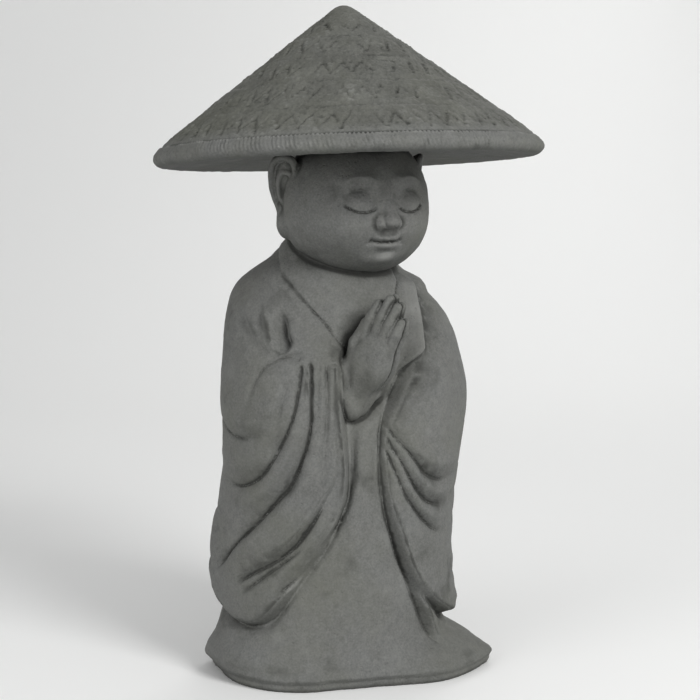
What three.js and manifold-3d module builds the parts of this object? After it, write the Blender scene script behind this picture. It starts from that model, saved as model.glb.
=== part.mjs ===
// Garden statue of a praying jizo monk in a wide straw hat, cast in one piece of stone.
// Millimetres, +Z up. The figure faces -Y, its left hand side is +X, and it stands on z = 0.
import * as THREE from 'three';
import { mergeVertices } from 'three/addons/utils/BufferGeometryUtils.js';
import Module from 'manifold-3d';

const wasm = await Module();
wasm.setup();

// ---------------------------------------------------------------- driving dimensions
// Lengths along the figure are written x (to its left), f (to its front) and z (up),
// from the robe's axis. RING moves that axis so that the rim stands over the origin.
const RING = { x: 0.8, f: 0.5 };
const ROBE_TOP = 300;          // where the robe closes, inside the head

const HAT_RADIUS = 130.1;      // outside of the rolled rim
const HAT_BASE_Z = 346.5;      // underside of the rim, on the axis
const HAT_RISE = 103.7;        // rim underside to the rounded point
const HAT_BACK = 3.2;          // degrees the hat is tipped back
const HAT_SIDE = 0.95;         // degrees the hat is tipped to the figure's right
const HAT_SLOPE = 0.745;       // rise of the cone for each mm towards the axis
const RIM_HALF = 5.4;          // half the thickness of the rolled rim
const HAT_DISH = 9;            // how far the underside is dished at the head

const HEAD = { x: 0.8, f: 11, z: 320.5, rx: 49.3, rf: 49.5, rz: 48, turn: 4 };
const NECK = { r: 25, f: -1, z0: 254, z1: 300 };
const EAR = { x: 45.6, f: -8, z: 6, half: 29, width: 12, thick: 5, turn: 35.5, tilt: 10, lean: 12 };

const HAND = { x: -2, f: 57, z: 225, yaw: 36, lean: 24, length: 62, width: 29.5, thick: 10 };
const FOREARMS = [
  { from: [-40, 20, 190], to: [-6, 42, 196], r: 8.4 },
  { from: [36, 22, 196], to: [3, 38, 197], r: 8.3 },
];

// The robe in plan is four elliptical quarters at each height: half width, sideways
// shift, how far back the widest line lies, and the front and back depth from the axis.
const station4 = (z, w, s, c, f, b) => ({ z, w, s, c, f, b });
const NECKLINE = [
  station4(258, 70, -3, 24, 38, 68), station4(266, 64.5, -3.5, 26, 34.5, 64),
  station4(274, 52, -7, 23, 31.5, 57), station4(284, 41, -5, 17, 27, 47),
  station4(292, 37, -3, 13, 22, 42), station4(300, 31, -2, 10, 18, 36),
];
const SLEEVED = [
  station4(0, 101, 0, 2, 57, 66), station4(14, 95, -4, 5, 57, 70),
  station4(26, 85, -7, 10, 56, 70), station4(38, 88, 0, 16, 57, 72),
  station4(52, 87, -2, 20, 58, 74), station4(66, 88, -3, 26, 59, 76),
  station4(100, 86, -2, 24, 59, 76), station4(122, 84, -1, 17, 59, 73),
  station4(144, 84, 0, 9, 60, 69), station4(188, 87, 0, 4, 62, 66),
  station4(221, 83, 0, 11, 56, 69), station4(242, 78, -1, 18, 46, 70), ...NECKLINE,
];
const SKIRT = [
  station4(0, 101, 0, 2, 57, 66), station4(14, 95, -4, 5, 57, 70),
  station4(26, 83, -8.5, 9, 55, 70), station4(34, 79, -9, 10, 54, 69),
  station4(50, 76, -6, 11, 53, 69), station4(80, 73.5, -2, 11, 52, 70),
  station4(122, 69, -1, 10, 50.5, 69), station4(166, 66, 0, 6, 49, 65),
  station4(200, 65, 0, 7, 44, 65), station4(221, 67, 0, 10, 41, 67),
  station4(236, 73, -1, 15, 41, 69), ...NECKLINE,
];
// Plan of the foot, [angle, radius]: a long pointed oval, turned a little from the body.
const FOOT = [
  [-180, 66], [-142, 75.5], [-126, 87.5], [-112, 100], [-101, 95], [-85, 90.5], [-66, 83.5],
  [-47, 73.5], [-25, 60.5], [-4, 58], [15, 63.5], [36, 78.5], [55, 90], [71, 101], [79, 97],
  [94, 86], [115, 74], [140, 67],
];
const FOOT_HEIGHT = 28;        // where the spread of the foot starts

// Front edges of the two hanging sleeves: [angle from the front in degrees towards the
// figure's left, height].
const RIGHT_SLEEVE = [
  [-90, 262], [-79, 255], [-69.5, 240], [-61, 222], [-44, 220.5], [-27, 220], [-25, 200],
  [-22, 158], [-22, 128], [-36, 97], [-57, 63], [-73, 42.5], [-91, 43], [-110, 56], [-156, 79],
  [-180, 92],
];
const LEFT_SLEEVE = [
  [86, 262], [72, 265], [56.5, 252], [46, 237], [33, 214], [18, 194], [7, 174], [4.5, 150],
  [9, 120], [23, 82], [36, 62], [54, 45], [68, 36], [77, 34.5], [84, 42], [110, 58], [160, 76],
  [180, 92],
];
const SHOULDER = 263;          // the sleeves run into the shoulders at this height

// Larger folds: a line of [angle, height] points, height of the relief in mm,
// half width in mm. A negative height is a groove.
const FOLDS = [
  // right sleeve
  { line: [[-51, 218], [-64, 219], [-72, 204], [-78, 180]], h: -2.2, w: 4 },
  { line: [[-62, 168], [-80, 166], [-100, 174], [-116, 180]], h: -3.0, w: 4.5 },
  { line: [[-49, 217], [-50, 190], [-58, 164], [-73, 139], [-94, 135], [-118, 146]], h: -3.4, w: 4.5 },
  { line: [[-44, 217], [-42, 184], [-48, 153], [-62, 127], [-87, 93], [-104, 66]], h: -4.0, w: 4.8 },
  { line: [[-30, 138], [-44, 110], [-64, 85], [-81, 71], [-96, 60]], h: -3.6, w: 4 },
  { line: [[-47, 98], [-58, 86], [-79, 64], [-88, 54]], h: -2.2, w: 3.6 },
  { line: [[-29, 216], [-28, 165], [-35, 134], [-56, 101], [-86, 77]], h: 2.8, w: 4 },
  { line: [[-38, 178], [-46, 140], [-68, 106], [-94, 76]], h: 2.2, w: 5 },
  { line: [[-46, 190], [-56, 153], [-80, 122], [-96, 106]], h: 2.2, w: 6 },
  { line: [[-98, 250], [-81, 234], [-66, 222]], h: -2.2, w: 4 },
  { line: [[-72, 251], [-68.5, 240], [-62, 225]], h: -5.5, w: 3.8 },       // beside the chest
  { line: [[-58, 223], [-43, 223], [-27, 223]], h: -1.6, w: 3 },           // above the cuff
  // left sleeve: folds that fan out from the wrist
  { line: [[8, 174], [16, 162], [33, 142], [55, 134], [80, 142], [110, 158]], h: -2.9, w: 4.2 },
  { line: [[8, 166], [15, 152], [32, 126], [56, 116], [86, 126], [126, 130]], h: -2.9, w: 4.2 },
  { line: [[7, 158], [13, 143], [29, 115], [53, 98], [90, 106], [134, 104]], h: -2.8, w: 4.2 },
  { line: [[7, 146], [14, 120], [34, 82], [62, 58], [84, 62], [130, 82]], h: -1.8, w: 4 },
  { line: [[14, 170], [24, 158], [38, 148], [58, 146], [74, 150]], h: 2.0, w: 5.6 },
  { line: [[8, 140], [17, 105], [40, 66], [56, 51]], h: 1.8, w: 4 },
  { line: [[88, 200], [104, 186], [122, 182], [138, 186]], h: -2.0, w: 5 },
  // left lapel, where it lies over the arm
  { line: [[76, 270], [57, 253], [46.5, 237], [37.5, 222], [26, 204], [18, 194]], h: -3.2, w: 3.6 },
  { line: [[70, 272], [51, 257], [40.5, 239], [31.5, 219], [13, 193]], h: 2.8, w: 3.8 },
  // skirt
  { line: [[-16, 180], [-18, 140], [-30, 100]], h: -1.5, w: 4.4 },
  { line: [[-13, 176], [-15, 124], [-30, 70], [-36, 44]], h: 1.3, w: 4.4 },
  { line: [[9, 124], [17, 94], [27, 67], [44, 36], [60, 12]], h: -2.2, w: 4.2 },
  { line: [[17, 118], [26, 90], [36, 64], [54, 36], [70, 12]], h: 2.6, w: 7 },
  // back: long soft folds from the shoulders to the hem
  { line: [[148, 262], [149, 160], [134, 60], [128, 12]], h: -2.6, w: 6.5 },
  { line: [[-148, 262], [-149, 160], [-134, 60], [-128, 12]], h: -2.6, w: 6.5 },
  { line: [[180, 238], [179, 130], [174, 12]], h: -2.2, w: 8 },
  { line: [[163, 226], [160, 110], [154, 12]], h: 2.0, w: 7 },
  { line: [[-163, 226], [-160, 110], [-154, 12]], h: 2.0, w: 7 },
];
// The two crossed collar lines.
const COLLAR_RIGHT = [[-120, 290], [-86, 276], [-61, 260], [-36, 239], [-18, 221], [5, 196]];
const COLLAR_LEFT = [[116, 290], [84, 283], [47, 268], [25, 249], [6, 220], [-3, 200]];
const COLLAR_GROOVE = { depth: 2.0, w: 2.8 };
// Hollows where the wrists come out of the cuffs: angle, height, depth, half sizes.
const CUFFS = [{ a: -15, z: 189, depth: 13, da: 8.5, dz: 7.5 }, { a: -1, z: 193, depth: 9, da: 8.5, dz: 6.5 }];

const STONE = new THREE.MeshStandardMaterial({ color: 0x666663, roughness: 0.92, metalness: 0 });

// ---------------------------------------------------------------- small helpers
const RAD = Math.PI / 180;
const MM_PER_DEG = 1.15;       // on the robe at its mean radius
const clamp01 = (t) => Math.min(1, Math.max(0, t));
const smooth = (e0, e1, v) => { const t = clamp01((v - e0) / (e1 - e0)); return t * t * (3 - 2 * t); };
const bump = (dx, dy, sx, sy) => Math.exp(-(dx * dx) / (sx * sx) - (dy * dy) / (sy * sy));

function station(table, z, key) {
  if (z <= table[0].z) return table[0][key];
  for (let i = 1; i < table.length; i += 1) {
    const lo = table[i - 1], hi = table[i];
    if (z <= hi.z) return lo[key] + (hi[key] - lo[key]) * (z - lo.z) / (hi.z - lo.z);
  }
  return table[table.length - 1][key];
}

// distance from the axis to the robe in plan, at angle a (radians) and height z
function planRadius(table, a, z) {
  const [w, cx, c, f, b] = ['w', 's', 'c', 'f', 'b'].map((key) => station(table, z, key));
  const s = Math.sin(a), k = Math.cos(a);
  const solve = (depth) => {
    const A = (s / w) ** 2 + (k / depth) ** 2;
    const B = 2 * k * c / depth ** 2 - 2 * s * cx / w ** 2;
    const C = (c / depth) ** 2 + (cx / w) ** 2 - 1;
    return (-B + Math.sqrt(Math.max(B * B - 4 * A * C, 0))) / (2 * A);
  };
  const front = solve(f + c);
  return front * k + c > 0 ? front : solve(b - c);
}

function smoothLine(points, steps) {
  const curve = new THREE.CatmullRomCurve3(points.map(([a, z]) => new THREE.Vector3(a * MM_PER_DEG, z, 0)));
  return curve.getPoints(steps);
}

// distance and side of a point from an open line, in unrolled robe millimetres
function lineDistance(line, x, z) {
  let best = Infinity, side = 1, along = 0;
  for (let i = 0; i + 1 < line.length; i += 1) {
    const ax = line[i].x, az = line[i].y;
    const dx = line[i + 1].x - ax, dz = line[i + 1].y - az;
    const t = clamp01(((x - ax) * dx + (z - az) * dz) / (dx * dx + dz * dz));
    const px = x - ax - t * dx, pz = z - az - t * dz;
    const d = Math.hypot(px, pz);
    if (d < best) { best = d; side = dx * pz - dz * px >= 0 ? 1 : -1; along = (i + t) / (line.length - 1); }
  }
  return { d: best, side, along };
}

// signed distance to a closed outline, positive inside
function regionDistance(outline, x, z) {
  let best = Infinity, inside = false;
  for (let i = 0, j = outline.length - 1; i < outline.length; j = i, i += 1) {
    const [xi, zi] = outline[i], [xj, zj] = outline[j];
    const dx = xj - xi, dz = zj - zi;
    const t = clamp01(((x - xi) * dx + (z - zi) * dz) / (dx * dx + dz * dz));
    best = Math.min(best, Math.hypot(x - xi - t * dx, z - zi - t * dz));
    if ((zi > z) !== (zj > z) && x < (dx * (z - zi)) / dz + xi) inside = !inside;
  }
  return inside ? best : -best;
}

// a sleeve's outline: its front edge, closed round the back of the figure
function sleeveOutline(edge) {
  const end = Math.sign(edge[edge.length - 1][0]) * 215 * MM_PER_DEG;
  return [...smoothLine(edge, 80).map((p) => [p.x, p.y]), [end, 90], [end, SHOULDER]];
}
const rightSleeve = sleeveOutline(RIGHT_SLEEVE), leftSleeve = sleeveOutline(LEFT_SLEEVE);
const folds = FOLDS.map((f) => ({ ...f, curve: smoothLine(f.line, 22) }));
const collars = [smoothLine(COLLAR_RIGHT, 30), smoothLine(COLLAR_LEFT, 30)];
const footCurve = new THREE.CatmullRomCurve3(
  FOOT.map(([a, r]) => new THREE.Vector3(r * Math.sin(a * RAD), r * Math.cos(a * RAD), 0)), true, 'centripetal',
).getPoints(720).map((p) => [Math.atan2(p.x, p.y) / RAD, Math.hypot(p.x, p.y)]).sort((p, q) => p[0] - q[0]);

function footRadius(aDeg) {
  const a = ((aDeg + 540) % 360) - 180;
  let i = footCurve.findIndex((p) => p[0] > a);
  if (i < 0) i = 0;
  const [a1, r1] = footCurve[i], [a0, r0] = footCurve[(i + footCurve.length - 1) % footCurve.length];
  const gap = ((a1 - a0) + 360) % 360 || 1;
  return r0 + (r1 - r0) * clamp01((((a - a0) + 360) % 360) / gap);
}

// ---------------------------------------------------------------- robe
const mix = (p, q, t) => p + (q - p) * t;

function robeRadius(angle, z) {
  const aDeg = ((angle + 540) % 360) - 180, a = aDeg * RAD, x = aDeg * MM_PER_DEG;
  const skirt = planRadius(SKIRT, a, z), sleeved = planRadius(SLEEVED, a, z);
  const right = regionDistance(rightSleeve, x, z), left = regionDistance(leftSleeve, x, z);
  // part of each sleeve's edge is a step, the rest rolls back over some way
  const upper = smooth(206, 226, z), stepR = mix(0.56, 0.86, smooth(196, 214, z));
  const stepL = mix(0.36, 0.70, smooth(140, 105, z));
  const edgeR = mix(smooth(-1, 13, right), smooth(-4.4, 4.4, right), stepR);
  const lowL = mix(smooth(-1, 15, left), smooth(-5, 5, left), stepL);
  const edgeL = mix(lowL, smooth(-17, -1, left), upper);
  // cloth drawn forward over the right forearm, between the collar and the cuff
  const drape = aDeg < 0 ? 0.86 * smooth(262, 222, z) * smooth(-20, -33, aDeg) * smooth(211, 216, z) : 0;
  let r = mix(skirt, sleeved, Math.max(edgeR, edgeL, drape));
  // the foot spreads from the skirt and turns in under itself
  r = mix(r, footRadius(aDeg), smooth(FOOT_HEIGHT, 6, z) ** 1.4);
  r += 0.8 * bump(0, z - 8.6, 1, 3) - 1.9 * smooth(8, 0, z);
  r -= 4.6 * smooth(13, 2, z) * bump(aDeg + 110, 0, 22, 1);
  // the right sleeve's bag hangs over the skirt at its lowest part
  const bag = smooth(76, 60, z) * smooth(-112, -99, aDeg) * smooth(-54, -68, aDeg);
  r += bag * (1.6 * bump(right - 5.5, 0, 5, 1) - 4.4 * bump(right + 3.4, 0, right > -3.4 ? 3 : 5.5, 1));
  // the arm falls away behind the left lapel
  if (aDeg > 0) r -= 2.4 * smooth(-1, 3, left) * bump(Math.max(left, 0), 0, 11, 1) * smooth(216, 230, z) * smooth(264, 254, z);
  const outside = 1 - smooth(-2, 4, Math.max(right, left));
  for (const c of CUFFS) r -= c.depth * bump(aDeg - c.a, z - c.z, c.da, c.dz) * outside;
  for (const fold of folds) {
    for (const turn of [-360, 0, 360]) {
      const { d, along } = lineDistance(fold.curve, x + turn * MM_PER_DEG, z);
      if (d < 3 * fold.w) {
        const ends = smooth(0, 0.15, along) * smooth(1, 0.85, along);
        r += fold.h * bump(d, 0, fold.w, 1) * (0.25 + 0.75 * ends);
      }
    }
  }
  for (const line of collars) {
    const { d } = lineDistance(line, x, z);
    r -= COLLAR_GROOVE.depth * bump(d, 0, COLLAR_GROOVE.w, 1) * smooth(198, 208, z);
  }
  return r;
}

// the figure's own axes to the part's frame
const place = (x, f, z) => [x - RING.x, RING.f - f, z];

function solidFrom(geometry) {
  const g = geometry.index ? geometry.clone() : geometry;
  g.deleteAttribute('normal');
  g.deleteAttribute('uv');
  const merged = mergeVertices(g, 1e-4);
  const idx = merged.index.array, tris = [];
  for (let i = 0; i < idx.length; i += 3) {
    const [a, b, c] = [idx[i], idx[i + 1], idx[i + 2]];
    if (a !== b && b !== c && a !== c) tris.push(a, b, c);
  }
  return new wasm.Manifold(new wasm.Mesh({
    numProp: 3,
    vertProperties: new Float32Array(merged.attributes.position.array),
    triVerts: new Uint32Array(tris),
  }));
}

// turn the faces over, after a mirroring
function flip(geometry) {
  const idx = geometry.index.array;
  for (let i = 0; i < idx.length; i += 3) [idx[i + 1], idx[i + 2]] = [idx[i + 2], idx[i + 1]];
  return geometry;
}

// move every vertex of a geometry by a function of its place
function reshape(geometry, fn) {
  const p = geometry.attributes.position, v = new THREE.Vector3();
  for (let i = 0; i < p.count; i += 1) {
    v.fromBufferAttribute(p, i);
    const [x, y, z] = fn(v);
    p.setXYZ(i, x, y, z);
  }
  return geometry;
}

const ROBE_COLUMNS = 60;
const ROW_ZONES = [[46, 8], [198, 15], [274, 12], [ROBE_TOP, 2]];   // top of each zone, rows in it
function makeRobe() {
  const rows = [0];
  for (const [top, count] of ROW_ZONES) {
    const start = rows[rows.length - 1];
    for (let i = 1; i <= count; i += 1) rows.push(start + (top - start) * i / count);
  }
  const g = new THREE.CylinderGeometry(1, 1, 1, ROBE_COLUMNS, rows.length - 1, false);
  return solidFrom(reshape(g, (v) => {
    const z = rows[Math.round((v.y + 0.5) * (rows.length - 1))];
    if (Math.hypot(v.x, v.z) < 0.5) return place(0, 0, z);
    const u = Math.atan2(v.x, v.z);
    const a = (u - 0.32 * Math.sin(u + 0.2)) / RAD;   // columns lie closer together in front
    const r = robeRadius(a, z);
    return place(r * Math.sin(a * RAD), r * Math.cos(a * RAD), z);
  }));
}

// ---------------------------------------------------------------- hat
function makeHat() {
  const R = HAT_RADIUS, lip = RIM_HALF;
  const pts = [[0, HAT_DISH], [48, HAT_DISH * 0.93], [92, HAT_DISH * 0.42], [R - 2.1 * lip, 0.3]];
  for (let i = 0; i <= 6; i += 1) {              // rolled rim
    const a = (-90 + i * 22) * RAD;
    pts.push([R - lip + lip * Math.cos(a), lip + lip * Math.sin(a)]);
  }
  const coneTop = HAT_RISE + 2.8;
  for (const r of [R - 9, 98, 66, 34, 9]) pts.push([r, coneTop - HAT_SLOPE * r]);
  pts.push([4.4, HAT_RISE - 1.2], [0, HAT_RISE]);
  const profile = pts.map(([r, z]) => new THREE.Vector2(r, z));
  const g = new THREE.LatheGeometry(profile, 48);
  g.rotateX(Math.PI / 2);
  // the hat's axis leans back and to the figure's right; the rim's centre stays over the origin
  const up = new THREE.Vector3(-Math.tan(HAT_SIDE * RAD), Math.tan(HAT_BACK * RAD), 1).normalize();
  g.translate(0, 0, -RIM_HALF);
  g.applyQuaternion(new THREE.Quaternion().setFromUnitVectors(new THREE.Vector3(0, 0, 1), up));
  g.translate(0, 0, HAT_BASE_Z + RIM_HALF * up.z);
  return solidFrom(g);
}

// ---------------------------------------------------------------- head
// soft masses of a calm child's face, on the unit directions of the head: s is to the
// figure's left, h is up, both in units of the head radius
function faceRelief(s, h) {
  const m = Math.abs(s);
  let d = 0;
  d -= 2.4 * bump(m - 0.33, h - 0.10, 0.24, 0.14);     // eye hollows
  d += 1.6 * bump(m - 0.33, h - 0.34, 0.32, 0.12);     // brow
  d -= 1.4 * bump(s, h + 0.66, 0.20, 0.07);            // under the lower lip
  d += 3.0 * bump(s, h + 0.80, 0.22, 0.13);            // chin
  d += 2.8 * bump(m - 0.48, h + 0.30, 0.28, 0.26);     // cheeks
  return d;
}

// features joined to the face: centre and half sizes, in the head's own axes
const FEATURES = [
  { at: [0, 48.2, -1], half: [4.4, 3.8, 14.5], pitch: 18 },       // nose
  { at: [0, 52.4, -11.4], half: [6.6, 4.6, 4.4], pitch: 0 },      // tip and wings of the nose
  { at: [16.4, 40.6, 0], half: [9.8, 7.6, 6.4], pitch: 0 },       // closed lids
  { at: [-16.4, 40.6, 0], half: [9.8, 7.6, 6.4], pitch: 0 },
  { at: [0, 45.0, -22.6], half: [9.0, 5.0, 2.3], pitch: 0 },      // lips
  { at: [0, 44.4, -27.4], half: [7.6, 5.0, 2.4], pitch: 0 },
];

// from the head's own axes, turned a little to the figure's left
function onHead(x, f, h) {
  const t = HEAD.turn * RAD;
  return place(
    HEAD.x + x * Math.cos(t) + f * Math.sin(t),
    HEAD.f + f * Math.cos(t) - x * Math.sin(t),
    HEAD.z + h,
  );
}

function makeHead() {
  const g = new THREE.SphereGeometry(1, 26, 16);
  reshape(g, (v) => {
    // rows and columns lie closer together on the face
    const u = Math.atan2(v.x, v.z), q = Math.acos(v.y), flat = Math.hypot(v.x, v.z) < 1e-6;
    const a = u - 0.4 * Math.sin(u), e = q + 0.25 * Math.sin(q);
    let x = flat ? 0 : Math.sin(e) * Math.sin(a), f = flat ? 0 : Math.sin(e) * Math.cos(a), h = Math.cos(e);
    // fuller below the eyes, a little flatter in front
    const full = 1 + 0.035 * bump(0, h + 0.35, 1, 0.4);
    const face = f > 0 ? faceRelief(x, h) * smooth(0.1, 0.45, f) : 0;
    const grow = 1 + face / HEAD.rf;
    x *= HEAD.rx * full * (1 + face / HEAD.rf * 0.3);
    f *= HEAD.rf * (f > 0 ? 0.98 : 1.02) * grow;
    h *= HEAD.rz;
    return onHead(x, f, h);
  });
  return solidFrom(g);
}

function makeFeature({ at, half, pitch }) {
  const g = new THREE.SphereGeometry(1, 8, 6);
  g.scale(half[0], half[1], half[2]);
  g.rotateX(pitch * RAD);
  return solidFrom(reshape(g, (v) => onHead(at[0] + v.x, at[1] - v.y, at[2] + v.z)));
}

function makeEar(side) {
  // a long lobed ear: an egg pinched above the lobe, turned to the front
  const g = new THREE.SphereGeometry(1, 12, 14);
  reshape(g, (v) => {
    const h = v.y;
    const wide = 1 - 0.34 * smooth(0.2, -0.5, h) + 0.16 * bump(0, h + 0.72, 1, 0.22);
    let w = v.x * EAR.thick + 1.6 * smooth(-0.2, -0.7, h);
    let f = v.z * EAR.width * wide - 1.3 + 3.6 * smooth(0, -0.6, h);
    let u = -2 + EAR.half * h;
    const [turn, tilt, lean] = [EAR.turn * RAD, EAR.tilt * RAD, EAR.lean * RAD];
    [w, u] = [w * Math.cos(lean) + u * Math.sin(lean), u * Math.cos(lean) - w * Math.sin(lean)];
    [f, u] = [f * Math.cos(tilt) + u * Math.sin(tilt), u * Math.cos(tilt) - f * Math.sin(tilt)];
    [w, f] = [w * Math.cos(turn) - f * Math.sin(turn), w * Math.sin(turn) + f * Math.cos(turn)];
    return onHead(side * (EAR.x + w), EAR.f + f, EAR.z + u);
  });
  if (side < 0) flip(g);
  return solidFrom(g);
}

function makeNeck() {
  const g = new THREE.CylinderGeometry(NECK.r - 1, NECK.r + 1, NECK.z1 - NECK.z0, 20, 1);
  g.rotateX(Math.PI / 2);
  g.translate(...place(0, NECK.f, (NECK.z0 + NECK.z1) / 2));
  return solidFrom(g);
}

// ---------------------------------------------------------------- hands
// one hand upright, palm on x = 0, back towards -x, wrist at the origin, fingers up,
// thumb side towards +y (the chest)
function makeHand(side) {
  const W = HAND.width, L = HAND.length, T = HAND.thick, t = T * 0.40;
  const forms = [];
  const put = (geometry, px, py, pz) => {
    geometry.translate(px, py, pz);
    forms.push(geometry);
  };
  // palm, heel and ball of the thumb
  for (const [y, z, rx, ry, rz] of [
    [-0.5, L * 0.27, T * 0.66, W * 0.50, L * 0.34],
    [W * 0.20, L * 0.18, T * 0.72, W * 0.28, L * 0.23],
  ]) {
    const form = new THREE.SphereGeometry(1, 10, 8);
    form.scale(rx, ry, rz);
    put(form, -t, y, z);
  }
  const wrist = new THREE.CapsuleGeometry(7.7, L * 0.40, 2, 9);
  wrist.rotateX(Math.PI / 2);
  put(wrist, -t, 0, -L * 0.14);
  // four fingers from the thumb side outwards
  const reach = [0.90, 1.0, 0.965, 0.83];
  reach.forEach((top, i) => {
    const r = T * (top > 0.85 ? 0.43 : 0.375), y = W * (0.345 - 0.223 * i);
    const z0 = L * 0.42, z1 = L * top - r;
    const finger = new THREE.CapsuleGeometry(r, z1 - z0, 2, 7);
    finger.rotateX(Math.PI / 2);
    put(finger, -t * 0.95, y, (z0 + z1) / 2);
  });
  const thumb = new THREE.CapsuleGeometry(T * 0.44, L * 0.36, 2, 6);
  thumb.rotateX(Math.PI / 2 - 0.06);
  put(thumb, -t, W * 0.44, L * 0.34);
  return forms.map((g) => {
    if (side > 0) flip(g.scale(-1, 1, 1));
    // lean the fingertips forward, then yaw towards the figure's left
    g.translate(0, 0, -L * 0.35);
    g.rotateX(HAND.lean * RAD);
    g.rotateZ(HAND.yaw * RAD);
    g.translate(...place(HAND.x, HAND.f, HAND.z));
    return solidFrom(g);
  });
}

// forearm inside each cuff, from the sleeve to the wrist
function makeForearm({ from, to, r }) {
  const a = new THREE.Vector3(...place(...from)), b = new THREE.Vector3(...place(...to));
  const axis = new THREE.Vector3().subVectors(b, a);
  const g = new THREE.CapsuleGeometry(r, axis.length(), 2, 10);
  g.applyQuaternion(new THREE.Quaternion().setFromUnitVectors(new THREE.Vector3(0, 1, 0), axis.clone().normalize()));
  g.translate((a.x + b.x) / 2, (a.y + b.y) / 2, (a.z + b.z) / 2);
  return solidFrom(g);
}

// ---------------------------------------------------------------- the casting
const bodies = [
  makeRobe(), makeHat(), makeHead(), ...FEATURES.map(makeFeature), makeNeck(), makeEar(-1), makeEar(1),
  ...makeHand(-1), ...makeHand(1), ...FOREARMS.map(makeForearm),
];
let statue = bodies[0];
for (const body of bodies.slice(1)) statue = statue.add(body);

// the casting is solid: only its outer skin is kept, so no small void stays
// closed in between the joined forms
function outerSkin(mesh) {
  const { vertProperties: pos, triVerts: tri } = mesh;
  const root = Int32Array.from({ length: pos.length / 3 }, (_, i) => i);
  const find = (i) => { while (root[i] !== i) { root[i] = root[root[i]]; i = root[i]; } return i; };
  for (let i = 0; i < tri.length; i += 3) {
    root[find(tri[i])] = find(tri[i + 1]);
    root[find(tri[i + 1])] = find(tri[i + 2]);
  }
  const groups = new Map();
  for (let i = 0; i < tri.length; i += 3) {
    const k = find(tri[i]);
    if (!groups.has(k)) groups.set(k, []);
    groups.get(k).push(tri[i], tri[i + 1], tri[i + 2]);
  }
  const skin = [...groups.values()].sort((a, b) => b.length - a.length)[0];
  const used = new Map(), out = [];
  const index = skin.map((v) => {
    if (!used.has(v)) { used.set(v, used.size); out.push(pos[3 * v], pos[3 * v + 1], pos[3 * v + 2]); }
    return used.get(v);
  });
  return { position: new Float32Array(out), index: new Uint32Array(index) };
}

const skin = outerSkin(statue.getMesh());
const geometry = new THREE.BufferGeometry();
geometry.setAttribute('position', new THREE.BufferAttribute(skin.position, 3));
geometry.setIndex(new THREE.BufferAttribute(skin.index, 1));
geometry.computeVertexNormals();

const jizo = new THREE.Mesh(geometry, STONE);
jizo.name = 'jizo_statue';

const group = new THREE.Group();
group.name = 'stone_jizo';
group.add(jizo);

export default group;
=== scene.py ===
"""Stone jizo statue: the visual model, sculpted as one closed surface, with its stone
finish, a plain studio and the camera. Lengths in the sculpt are millimetres in the
figure's own axes: X to the figure's left, F to its front (-Y in the scene), Z up."""
import math
from concurrent.futures import ThreadPoolExecutor

import bmesh
import bpy
import numpy as np
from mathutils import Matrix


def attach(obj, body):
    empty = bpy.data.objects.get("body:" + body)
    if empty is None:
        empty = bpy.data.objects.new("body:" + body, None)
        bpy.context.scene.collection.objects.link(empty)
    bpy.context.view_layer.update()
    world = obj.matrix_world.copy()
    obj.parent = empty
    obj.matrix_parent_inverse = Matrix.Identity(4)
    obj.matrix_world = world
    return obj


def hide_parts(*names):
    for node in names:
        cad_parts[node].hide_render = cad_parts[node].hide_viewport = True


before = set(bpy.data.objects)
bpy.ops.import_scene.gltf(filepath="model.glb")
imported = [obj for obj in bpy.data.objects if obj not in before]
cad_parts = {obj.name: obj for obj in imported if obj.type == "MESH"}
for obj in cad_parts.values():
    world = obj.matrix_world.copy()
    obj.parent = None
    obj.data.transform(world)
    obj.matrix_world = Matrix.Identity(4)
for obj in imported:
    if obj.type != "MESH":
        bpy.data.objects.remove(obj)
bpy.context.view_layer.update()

SEED = 20417
VOXEL = 1.06          # mm, sculpting grid
TRIANGLES = 196000    # after simplifying
D2R = math.pi / 180.0
F32 = np.float32


# ------------------------------------------------------------------ small helpers
def smooth(e0, e1, v):
    t = np.clip((v - e0) / (e1 - e0), 0.0, 1.0)
    return t * t * (3.0 - 2.0 * t)


def smin(a, b, k):
    h = np.clip(0.5 + 0.5 * (b - a) / k, 0.0, 1.0)
    return b + (a - b) * h - k * h * (1.0 - h)


def smax(a, b, k):
    return -smin(-a, -b, k)


def catmull(points, n=28):
    """A smooth line through a few control points."""
    p = np.asarray(points, float)
    if len(p) < 3:
        t = np.linspace(0, 1, n)[:, None]
        return p[0] + (p[-1] - p[0]) * t
    q = np.vstack([2 * p[0] - p[1], p, 2 * p[-1] - p[-2]])
    out = []
    seg = len(p) - 1
    for i in range(seg):
        a, b, c, d = q[i], q[i + 1], q[i + 2], q[i + 3]
        m = max(3, int(round(n / seg)))
        for t in np.linspace(0, 1, m, endpoint=(i == seg - 1)):
            out.append(0.5 * ((2 * b) + (c - a) * t + (2 * a - 5 * b + 4 * c - d) * t * t
                              + (3 * b - a - 3 * c + d) * t ** 3))
    return np.array(out)


def line_distance(line, X, Y):
    """Distance, signed side and place along (0 to 1) from a polyline, in the plane."""
    best = np.full(X.shape, 1e9)
    side = np.ones(X.shape)
    along = np.zeros(X.shape)
    n = len(line) - 1
    for i in range(n):
        ax, ay = line[i]
        dx, dy = line[i + 1] - line[i]
        L2 = dx * dx + dy * dy + 1e-12
        t = np.clip(((X - ax) * dx + (Y - ay) * dy) / L2, 0, 1)
        px = X - ax - t * dx
        py = Y - ay - t * dy
        d = px * px + py * py
        m = d < best
        best = np.where(m, d, best)
        side = np.where(m, np.where(dx * py - dy * px >= 0, 1.0, -1.0), side)
        along = np.where(m, (i + t) / n, along)
    return np.sqrt(best), side, along


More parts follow.
